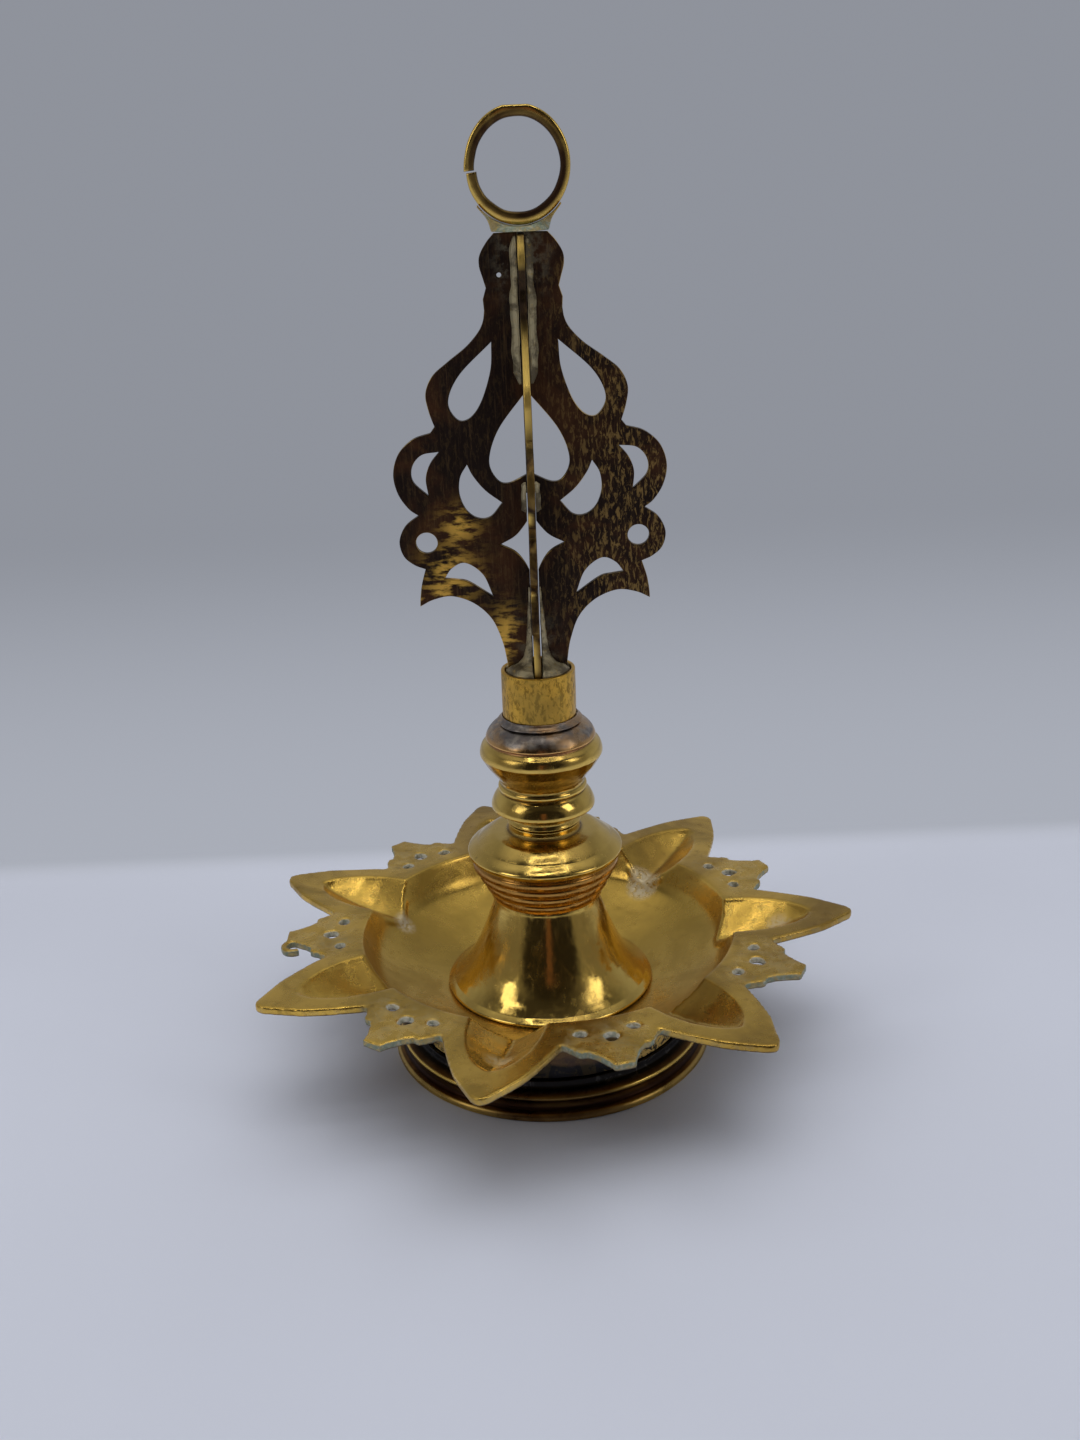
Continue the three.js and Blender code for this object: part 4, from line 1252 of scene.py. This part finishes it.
PLATE_HOLES = [
    [[(9.6, 99.2), (10.2, 91.2), (13.2, 82.4), (16.8, 77.7), (20.4, 77.3), (22.9, 82.4), (19.4, 90),
      (9.6, 99.2)]],
    [[(18.4, 64.1), (20.6, 60.4), (21.1, 55.3), (19.3, 50.5), (16, 47.9), (12.2, 48.2), (8.5, 52.3)],
     [(13.4, 56.2), (16.8, 60.6), (18.4, 64.1)]],
    [[(26.3, 68.2), (31.6, 67.4), (34.6, 64), (34.6, 59.6), (30.3, 55.1)],
     [(30.8, 60.4), (29.3, 64.6), (26.3, 68.2)]],
    [[(12.5, 23.5), (15.4, 30.6), (20.5, 34.4), (24.6, 33), (27.1, 29.8)],
     [(23.4, 29.3), (19.7, 28.4), (12.5, 23.5)]],
]
HEART_SIDE = [[(0, 85), (8.7, 74), (11.8, 65), (10, 59.6), (6.5, 58.1), (0, 61)]]
DIAMOND_SIDE = [
    [(0, 48.6), (2.4, 45.0), (5.2, 42.0), (9.7, 39.6)],
    [(5.4, 37.3), (2.6, 33.8), (0, 28)],
]

# Round holes: across, above the collar, radius
EYE = (31.7, 41.0, 3.2)
PIN_HOLE = (-6.5, 117.5, 0.7)

# Bright stretches of the front edge: height of the middle above the ground, half length
GOLD_EDGE = ((254, 3), (219, 11), (186, 1.5), (163, 1.5), (136, 5))

# Patches rubbed to gold: across, above the collar, half width, half height
RUBBED_PATCHES = ((-21.5, 46, 5, 5), (-25, 31, 7, 8), (-31, 20, 6, 6), (-9, 11, 4, 8))
PLATE_BEVEL = 0.28


def plate_loops():
    """A plate's outline and the edges of its piercings, both halves."""
    side = side_points(PLATE_SIDE, 0.7)
    outline = side + [(-x, z) for x, z in reversed(side[:-1])]
    loops = [outline]
    for hole in PLATE_HOLES:
        line = side_points(hole, 0.6)[:-1]
        loops += [line, [(-x, z) for x, z in line]]
    for hole in (HEART_SIDE, DIAMOND_SIDE):
        line = side_points(hole, 0.6)
        loops.append(line + [(-x, z) for x, z in reversed(line[1:-1])])
    across, above, radius = EYE
    eye = circle(radius, 40, (across, above))
    return [*loops, eye, [(-x, z) for x, z in eye]]


def flat_plate(name, loops, thickness, bevel):
    """Plate with rounded edges, standing in the XZ plane over the collar's top."""
    curve = bpy.data.curves.new(name, "CURVE")
    curve.dimensions = "2D"
    curve.fill_mode = "BOTH"
    curve.extrude = thickness / 2 - bevel
    curve.bevel_depth = bevel
    curve.bevel_resolution = 2
    curve.offset = -bevel
    for loop in loops:
        spline = curve.splines.new("POLY")
        spline.points.add(len(loop) - 1)
        spline.points.foreach_set("co", [v for x, z in loop for v in (x * MM, z * MM, 0, 1)])
        spline.use_cyclic_u = True
    source = bpy.data.objects.new(name, curve)
    bpy.context.scene.collection.objects.link(source)
    graph = bpy.context.evaluated_depsgraph_get()
    graph.update()
    mesh = bpy.data.meshes.new_from_object(source.evaluated_get(graph))
    discard(source)
    made = bpy.data.objects.new(name, mesh)
    bpy.context.scene.collection.objects.link(made)
    stand_up(made)
    lift(made, COLLAR_TOP)
    clean(made)
    upright, sideways = Vector((0, 0, 1)), Vector((1, 0, 0))
    strip = 2.6
    cuts = [(upright, COLLAR_TOP + z) for z in np.arange(-15, 128, strip)]
    cuts += [(sideways, x) for x in np.arange(-40, 40, strip)]
    with opened(made) as work:
        for direction, place in cuts:
            everything = work.verts[:] + work.edges[:] + work.faces[:]
            where = direction * float(place * MM)
            bmesh.ops.bisect_plane(work, geom=everything, plane_co=where, plane_no=direction, dist=1e-7)
    return made


def box_solid(name, low, high):
    corners = [(x, y, z) for x in (low[0], high[0]) for y in (low[1], high[1]) for z in (low[2], high[2])]
    faces = [(0, 1, 3, 2), (4, 6, 7, 5), (0, 4, 5, 1), (2, 3, 7, 6), (0, 2, 6, 4), (1, 5, 7, 3)]
    return clean(new_object(name, [(x * MM, y * MM, z * MM) for x, y, z in corners], faces))


class LAMP_OT_plates(bpy.types.Operator):
    """Saws the two crossed pierced plates"""

    bl_idname = "lamp.plates"
    bl_label = "Pierced plates"

    def execute(self, context):
        thickness = context.scene.lamp_sizes.plate_thickness
        slot = thickness / MM / 2 + SOLDER_GAP
        across, above, radius = PIN_HOLE
        pin_hole = circle(radius, 16, (across, above))
        for name, node, low, high, turn, extra in (
            ("sawn_side_plate", "side_plate", COLLAR_BASE - 1, PLATE_CROSSING + SOLDER_GAP, 0, [pin_hole]),
            ("sawn_front_plate", "front_plate", PLATE_CROSSING, PLATE_TOP + CUT_ROOM, 90, []),
        ):
            made = flat_plate(name, plate_loops() + extra, thickness, PLATE_BEVEL * MM)
            combined(made, box_solid("slot", (-slot, -5, low), (slot, 5, high)), "DIFFERENCE")
            self.describe(made, thickness)
            self.bend(made, 2.0 + turn)
            made.data.transform(Matrix.Rotation(math.radians(turn), 4, "Z"))
            dressed(made, "tarnished_brass")
            in_place(made, "tarnished_brass", node)
        return {"FINISHED"}

    def describe(self, made, thickness):
        """Marks the plate's edges, the front edge's bare stretches with painted shade on their lower right
        side, its rubbed patches and the solder crust at its neck and foot.
        """
        points = coordinates(made)
        x, y, height = points.T / MM
        z = height - COLLAR_TOP
        face = np.abs(y) > thickness / MM / 2 - 0.05
        front = (made.name == "sawn_front_plate") * (x < 0)
        mark(made, "edge", (1.0 - face) * (1 - 0.75 * front))
        bare = sum(np.clip(1.6 - np.abs(height - middle) / half, 0, 1) for middle, half in GOLD_EDGE)
        # Painted shade: below 200 mm only the lit left part of the front edge's width keeps its bare gold;
        # the right part stays dark.
        lit_side = np.clip(0.5 + y + (height > 200), 0, 1)
        mark(made, "worn", np.clip(bare, 0, 1) * (1.0 - face) * front * lit_side)

        def patch(across, above, half, tall):
            return np.exp(-(((x - across) / half) ** 2 + ((z - above) / tall) ** 2))

        rubbed = np.clip(1.15 * sum(patch(*place) for place in RUBBED_PATCHES), 0, 1)
        mark(made, "rubbed", rubbed * (made.name == "sawn_side_plate"))
        mark(made, "crust", (patch(0, 122, 6, 9) + 0.8 * patch(0, 0, 5, 14)) * face)
        smooth = [not abs(p.normal.y) > 0.999 for p in made.data.polygons]
        made.data.polygons.foreach_set("use_smooth", smooth)

    def bend(self, made, seed):
        """Gives the plate slow waves out of its plane and small ones along it."""
        points = coordinates(made)
        slow, quick = 22, 60
        for p in points:
            p[1] += 0.4 * MM * noise.noise(Vector((p[0] * slow + seed, seed, p[2] * slow)))
            p[0] += 0.2 * MM * noise.noise(Vector((seed, p[0] * quick, p[2] * quick)))
        put_back(made, points)


class LAMP_OT_solder(bpy.types.Operator):
    """Runs solder into the corners between the plates"""

    bl_idname = "lamp.solder"
    bl_label = "Solder"

    def execute(self, context):
        edge = 1.35
        mound = lathe_solid("collar_mound", [
            (10.0, -6), (10.0, 0.2), (8.6, 1.4), (6.2, 2.3), (4.6, 4.2), (3.7, 8), (3.1, 16), (2.4, 26.4),
        ], 64)
        lift(mound, COLLAR_TOP)
        combined(mound, box_solid("quarter", (edge, edge, COLLAR_TOP - 7), (12, 12, PLATE_TOP)), "INTERSECT")
        soften(mound, 0.25 * MM)
        self.lump(mound, "collar_solder_lumps", "collar_solder_")
        for name, prefix, leg in (
            ("waist_solder_run", "waist_solder_", 1.8), ("neck_solder_run", "neck_solder_", 2.5),
        ):
            low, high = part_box(prefix + "back_right")
            self.lump(self.fillet(name, low.z, high.z, edge, leg), name, prefix)
        return {"FINISHED"}

    def fillet(self, name, low, high, edge, leg):
        """One corner's run of solder, hollow in front, tapered at its ends and swelling here and there."""
        steps = 90
        hollow = ((0, 0), (1, 0), (0.45, 0.12), (0.2, 0.2), (0.12, 0.45), (0, 1))
        points = []
        for k in range(steps + 1):
            z = low + (high - low) * k / steps
            taper = min(1, 0.35 + 8 * min(k, steps - k) / steps)
            swell = taper * (0.85 + 0.3 * noise.noise(Vector((z * 260, leg, 0.5))))
            points += [((edge + leg * u * swell) * MM, (edge + leg * v * swell) * MM, z) for u, v in hollow]
        return clean(skinned(name, points, len(hollow)))

    def lump(self, made, name, prefix):
        """Copies a corner's solder to all four corners and makes it uneven."""
        round_the_axis(made, 4, 0, finish_named("solder"))
        uneven(made, 0.12 * MM, 420, 1.1)
        made.name = name
        dressed(made, "solder")
        corners = ("back_right", "back_left", "front_left", "front_right")
        in_place(made, "solder", *[prefix + corner for corner in corners])


class LAMP_OT_ring(bpy.types.Operator):
    """Forges the hanging ring and the saddle that holds it"""

    bl_idname = "lamp.ring"
    bl_label = "Hanging ring"

    def execute(self, context):
        ring = self.forged_ring()
        dressed(ring, "ring_brass")
        in_place(ring, "polished_brass", "suspension_ring")
        saddle = self.cast_saddle()
        dressed(saddle, "cast_brass")
        in_place(saddle, "cast_brass", "ring_saddle")
        return {"FINISHED"}

    def forged_ring(self):
        """An oval of flat wire, flattened on top, with a narrow slit at its left whose ends stand aside."""
        around, section = 200, 20
        slit_end, slit = math.radians(186.6), math.radians(1.8)
        side_wire, top_wire, depth_of_wire = 2.85, 3.5, 4.0
        flattened_top = 15.45
        squareness, end_lean, end_steps = 0.45, 0.3, 9
        points = []
        for k in range(around + 1):
            a = slit_end + (2 * math.pi - slit) * k / around
            c, s = math.cos(a), math.sin(a)
            sideways, upright = abs(c) ** 1.5, abs(s) ** 1.5
            thick = (side_wire * sideways + top_wire * upright) / (sideways + upright)
            thick *= 1 + 0.05 * noise.noise(Vector((c * 2.3, s * 2.3, 4.0)))
            depth = depth_of_wire * (1 + 0.03 * noise.noise(Vector((c * 3, s * 3, 8.0))))
            outer = (RING_HALF_WIDTH * c, min(RING_HALF_HEIGHT * s, flattened_top))
            inner = ((RING_HALF_WIDTH - thick) * c, (RING_HALF_HEIGHT - thick) * s)
            middle = ((outer[0] + inner[0]) / 2, (outer[1] + inner[1]) / 2)
            half = math.dist(outer, inner) / 2
            out = ((outer[0] - middle[0]) / half, (outer[1] - middle[1]) / half)
            lean = end_lean * (max(0, 1 - k / end_steps) - max(0, 1 - (around - k) / end_steps))
            for i in range(section):
                t = 2 * math.pi * (i + 0.5) / section
                u, v = math.cos(t), math.sin(t)
                u = math.copysign(abs(u) ** squareness, u) * half
                v = math.copysign(abs(v) ** squareness, v) * depth / 2
                x, z = middle[0] + out[0] * u + lean, RING_CENTRE + middle[1] + out[1] * u
                points.append((x * MM, v * MM, z * MM))
        made = clean(skinned("forged_ring", points, section))
        spots = coordinates(made) / MM
        inside = np.hypot(spots[:, 0] / 11.8, (spots[:, 2] - RING_CENTRE) / 12.4)
        mark(made, "hollow", (1.20 - inside) / 0.08)
        mark(made, "proud", (inside - 1.18) / 0.08)
        return made

    def cast_saddle(self):
        """A cradle that widens upwards, on a low cap over the plates' top, hollowed out for the ring."""
        flare = through([(8, 0), (9.2, 3.4), (11.9, 7)], 0.5)
        side = [(-8, 0), *flare, (11, 7.4), (-11, 7.4), *[(-x, z) for x, z in reversed(flare[1:])]]
        made = prism("saddle_cradle", side, -3, 3)
        stand_up(made)
        lift(made, SADDLE_BASE)
        cap = lathe_solid("saddle_cap", [(8, 0), (7.2, 1), (5, 1.8), (2, 2)], 96)
        lift(cap, SADDLE_BASE)
        combined(made, cap, "UNION")
        oval = circle(RING_HALF_WIDTH + SOLDER_GAP, 120, height=RING_HALF_HEIGHT + SOLDER_GAP)
        room = prism("ring_room", oval, -12, 12)
        stand_up(room)
        lift(room, RING_CENTRE)
        combined(made, room, "DIFFERENCE")
        soften(made, 0.22 * MM)
        uneven(made, 0.1 * MM, 300, 7.7)
        made.name = "soldered_saddle"
        above = coordinates(made)[:, 2] / MM - SADDLE_BASE
        mark(made, "crust", np.clip(1.2 - above / 8, 0.2, 1))
        return made


class LAMP_OT_clamp(bpy.types.Operator):
    """Gives the rod, washer and nut inside the stem their finish"""

    bl_idname = "lamp.clamp"
    bl_label = "Clamp"

    def execute(self, context):
        for node, finish in (
            ("tie_rod", "polished_brass"), ("clamp_washer", "cast_brass"), ("clamp_nut", "cast_brass"),
        ):
            dressed(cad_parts[node], finish)
        return {"FINISHED"}


# Stage

LIGHT_AIM = (0, 0, 0.09)
WARM_GLOW = (1, 0.45, 0.3)
ROOM_FRONT = (0.020, 0.018, 0.020)
ROOM_FLANK = (0.19, 0.185, 0.185)
ROOM_CEILING = (0.55, 0.56, 0.58)


def toward_lamp(place):
    return (Vector(LIGHT_AIM) - Vector(place)).to_track_quat("-Z", "Y")


def area_light(name, place, width, height, power, colour=(1, 1, 1)):
    """A rectangular light that faces the lamp."""
    data = bpy.data.lights.new(name, "AREA")
    data.shape = "RECTANGLE"
    data.size, data.size_y = width, height
    data.energy = power
    data.color = colour
    lamp = bpy.data.objects.new(name, data)
    lamp.location = place
    lamp.rotation_euler = toward_lamp(place).to_euler()
    bpy.context.scene.collection.objects.link(lamp)
    return lamp


class LAMP_OT_stage(bpy.types.Operator):
    """Sets the camera, the pale floor and the soft light"""

    bl_idname = "lamp.stage"
    bl_label = "Stage"

    def execute(self, context):
        scene = context.scene
        stage = scene.lamp_stage
        self.camera(scene, stage)
        self.floor(scene)
        self.light(stage.key_power)
        self.room(scene)
        scene.view_settings.view_transform = "Standard"
        return {"FINISHED"}

    def camera(self, scene, stage):
        data = bpy.data.cameras.new("lamp_camera")
        data.lens = stage.lens
        data.sensor_width = 36
        data.clip_start = 0.01
        camera = bpy.data.objects.new("lamp_camera", data)
        look_level = Matrix.Rotation(math.pi / 2, 4, "X")
        look_down = Matrix.Rotation(-stage.tilt, 4, "X")
        rolled = Matrix.Rotation(stage.roll, 4, "Z")
        camera.matrix_world = (
            Matrix.Translation((0, -stage.distance, stage.height)) @ look_level @ look_down @ rolled
        )
        scene.collection.objects.link(camera)
        scene.camera = camera

    def floor(self, scene):
        """A pale floor near the lamp, which turns into the glowing backdrop further off and behind; the glow
        is painted brighter near the lamp and darker further off.
        """
        reach = 40
        corners = [(-reach, -reach, 0), (reach, -reach, 0), (reach, reach, 0), (-reach, reach, 0)]
        floor = new_object("pale_floor", corners, [(0, 1, 2, 3)])
        finish = Finish("pale_floor")
        colours = scene.lamp_finishes
        near, far = tuple(colours.floor), tuple(colours.backdrop)
        back = finish.along("Y")
        away = finish.node("ShaderNodeVectorMath", {0: finish.place}, operation="LENGTH").outputs["Value"]
        behind = finish.between(back, 0.128, 0.152)
        own_light = finish.math("MAXIMUM", behind, finish.between(away, 0.46, 0.85))
        base = finish.mixed(finish.between(finish.noise(7, 2), 0.3, 0.7, 0, 0.10), near, shade(near, 0.8))
        base = finish.mixed(own_light, base, (0, 0, 0))
        finish.wire(base, 1.0, 0.0)
        # Painted fall-off of light: the backdrop glows 1.45 times brighter near its foot than further back,
        # and the far floor glows dimmer than the lit floor before fading into the backdrop.
        sweep = finish.mixed(finish.between(back, 0.14, 0.75), shade(far, 1.45), far)
        ground = finish.mixed(finish.between(away, 0.8, 3.5), shade(near, 0.68), far)
        glow = finish.mixed(behind, ground, sweep)
        finish.tree.links.new(glow, finish.shader.inputs["Emission Color"])
        finish.tree.links.new(own_light, finish.shader.inputs["Emission Strength"])
        finish.shader.inputs["Specular IOR Level"].default_value = 0
        floor.data.materials.append(finish.material)

    def light(self, power):
        """Soft boxes at both sides, a fill from above, a frame of tubes overhead and a dim warm strip."""
        area_light("left_box", (-0.66, -0.36, 0.60), 0.28, 0.46, power * 0.5)
        area_light("right_box", (0.68, -0.32, 0.58), 0.26, 0.46, power * 0.45)
        fill = area_light("overhead_fill", (0.0, 0.12, 1.15), 1.7, 1.7, power * 4.9)
        fill.visible_glossy = False
        middle, wide, deep, tube = Vector((0.04, -0.19, 1.14)), 0.34, 0.13, 0.05
        tilt = toward_lamp(middle)
        for name, across, along, width, height in (
            ("tubes_left", -wide, 0, tube, 2 * deep), ("tubes_right", wide, 0, tube, 2 * deep),
            ("tubes_front", 0, -deep, 2 * wide, tube), ("tubes_back", 0, deep, 2 * wide, tube),
        ):
            place = middle + tilt @ Vector((across, along, 0))
            made = area_light(name, place, width, height, power * 8 * width * height)
            made.rotation_euler = tilt.to_euler()
        area_light("warm_front", (0.0, -1.0, 0.32), 0.15, 0.5, power * 0.018, WARM_GLOW)

    def room(self, scene):
        """What the brass reflects: dark in front, grey at the flanks and behind, pale overhead."""
        world = bpy.data.worlds.new("soft_room")
        world.use_nodes = True
        tree = world.node_tree
        tree.nodes.clear()
        direction = tree_node(tree, "ShaderNodeTexCoord").outputs["Generated"]
        parts = tree_node(tree, "ShaderNodeSeparateXYZ", {"Vector": direction})
        back, up = parts.outputs["Y"], parts.outputs["Z"]

        def both(a, b):
            return tree_node(tree, "ShaderNodeMath", {0: a, 1: b}, operation="MULTIPLY").outputs[0]

        beside = both(ramp(tree, back, -0.74, -0.60), ramp(tree, up, 0.40, 0.70, 1.0, 0.1, "LINEAR"))
        behind = both(ramp(tree, back, -0.15, 0.45), ramp(tree, up, 0.25, 0.9, 1.0, 0.35, "LINEAR"))
        overhead = both(ramp(tree, up, 0.62, 0.92), ramp(tree, back, -0.22, 0.10))
        backdrop = tuple(scene.lamp_finishes.backdrop)
        walls = blend(tree, beside, ROOM_FRONT, ROOM_FLANK)
        walls = blend(tree, behind, walls, shade(backdrop, 1.2))
        walls = blend(tree, overhead, walls, ROOM_CEILING)
        shown = tree_node(tree, "ShaderNodeBackground", {"Color": (*backdrop, 1)})
        lit = tree_node(tree, "ShaderNodeBackground", {"Color": walls})
        rays = tree_node(tree, "ShaderNodeLightPath")
        mixed = tree_node(tree, "ShaderNodeMixShader", {
            0: rays.outputs["Is Camera Ray"], 1: lit.outputs[0], 2: shown.outputs[0],
        })
        out = tree_node(tree, "ShaderNodeOutputWorld")
        tree.links.new(mixed.outputs[0], out.inputs["Surface"])
        scene.world = world


OPERATORS = (
    LAMP_OT_stage, LAMP_OT_foot, LAMP_OT_drum, LAMP_OT_pan, LAMP_OT_stem, LAMP_OT_spacer, LAMP_OT_collar,
    LAMP_OT_plates, LAMP_OT_solder, LAMP_OT_ring, LAMP_OT_clamp,
)


class LAMP_PT_panel(bpy.types.Panel):
    """Lists the lamp's pieces"""

    bl_idname = "LAMP_PT_panel"
    bl_label = "Brass sabbath lamp"
    bl_space_type = "VIEW_3D"
    bl_region_type = "UI"
    bl_category = "Lamp"

    def draw(self, context):
        for group in (context.scene.lamp_sizes, context.scene.lamp_finishes, context.scene.lamp_stage):
            box = self.layout.box()
            for key in group.__annotations__:
                box.prop(group, key)
        for operator in OPERATORS:
            self.layout.operator(operator.bl_idname)


CLASSES = (LampSizes, LampFinishes, LampStage, *OPERATORS, LAMP_PT_panel)


def register():
    for made in CLASSES:
        bpy.utils.register_class(made)
    bpy.types.Scene.lamp_sizes = PointerProperty(type=LampSizes)
    bpy.types.Scene.lamp_finishes = PointerProperty(type=LampFinishes)
    bpy.types.Scene.lamp_stage = PointerProperty(type=LampStage)


def unregister():
    for key in ("lamp_sizes", "lamp_finishes", "lamp_stage"):
        delattr(bpy.types.Scene, key)
    for made in reversed(CLASSES):
        bpy.utils.unregister_class(made)


def main():
    register()
    bpy.ops.lamp.stage()
    bpy.ops.lamp.foot()
    bpy.ops.lamp.drum()
    bpy.ops.lamp.pan()
    bpy.ops.lamp.stem()
    bpy.ops.lamp.spacer()
    bpy.ops.lamp.collar()
    bpy.ops.lamp.plates()
    bpy.ops.lamp.solder()
    bpy.ops.lamp.ring()
    bpy.ops.lamp.clamp()
    bpy.context.view_layer.update()


if __name__ == "__main__":
    main()
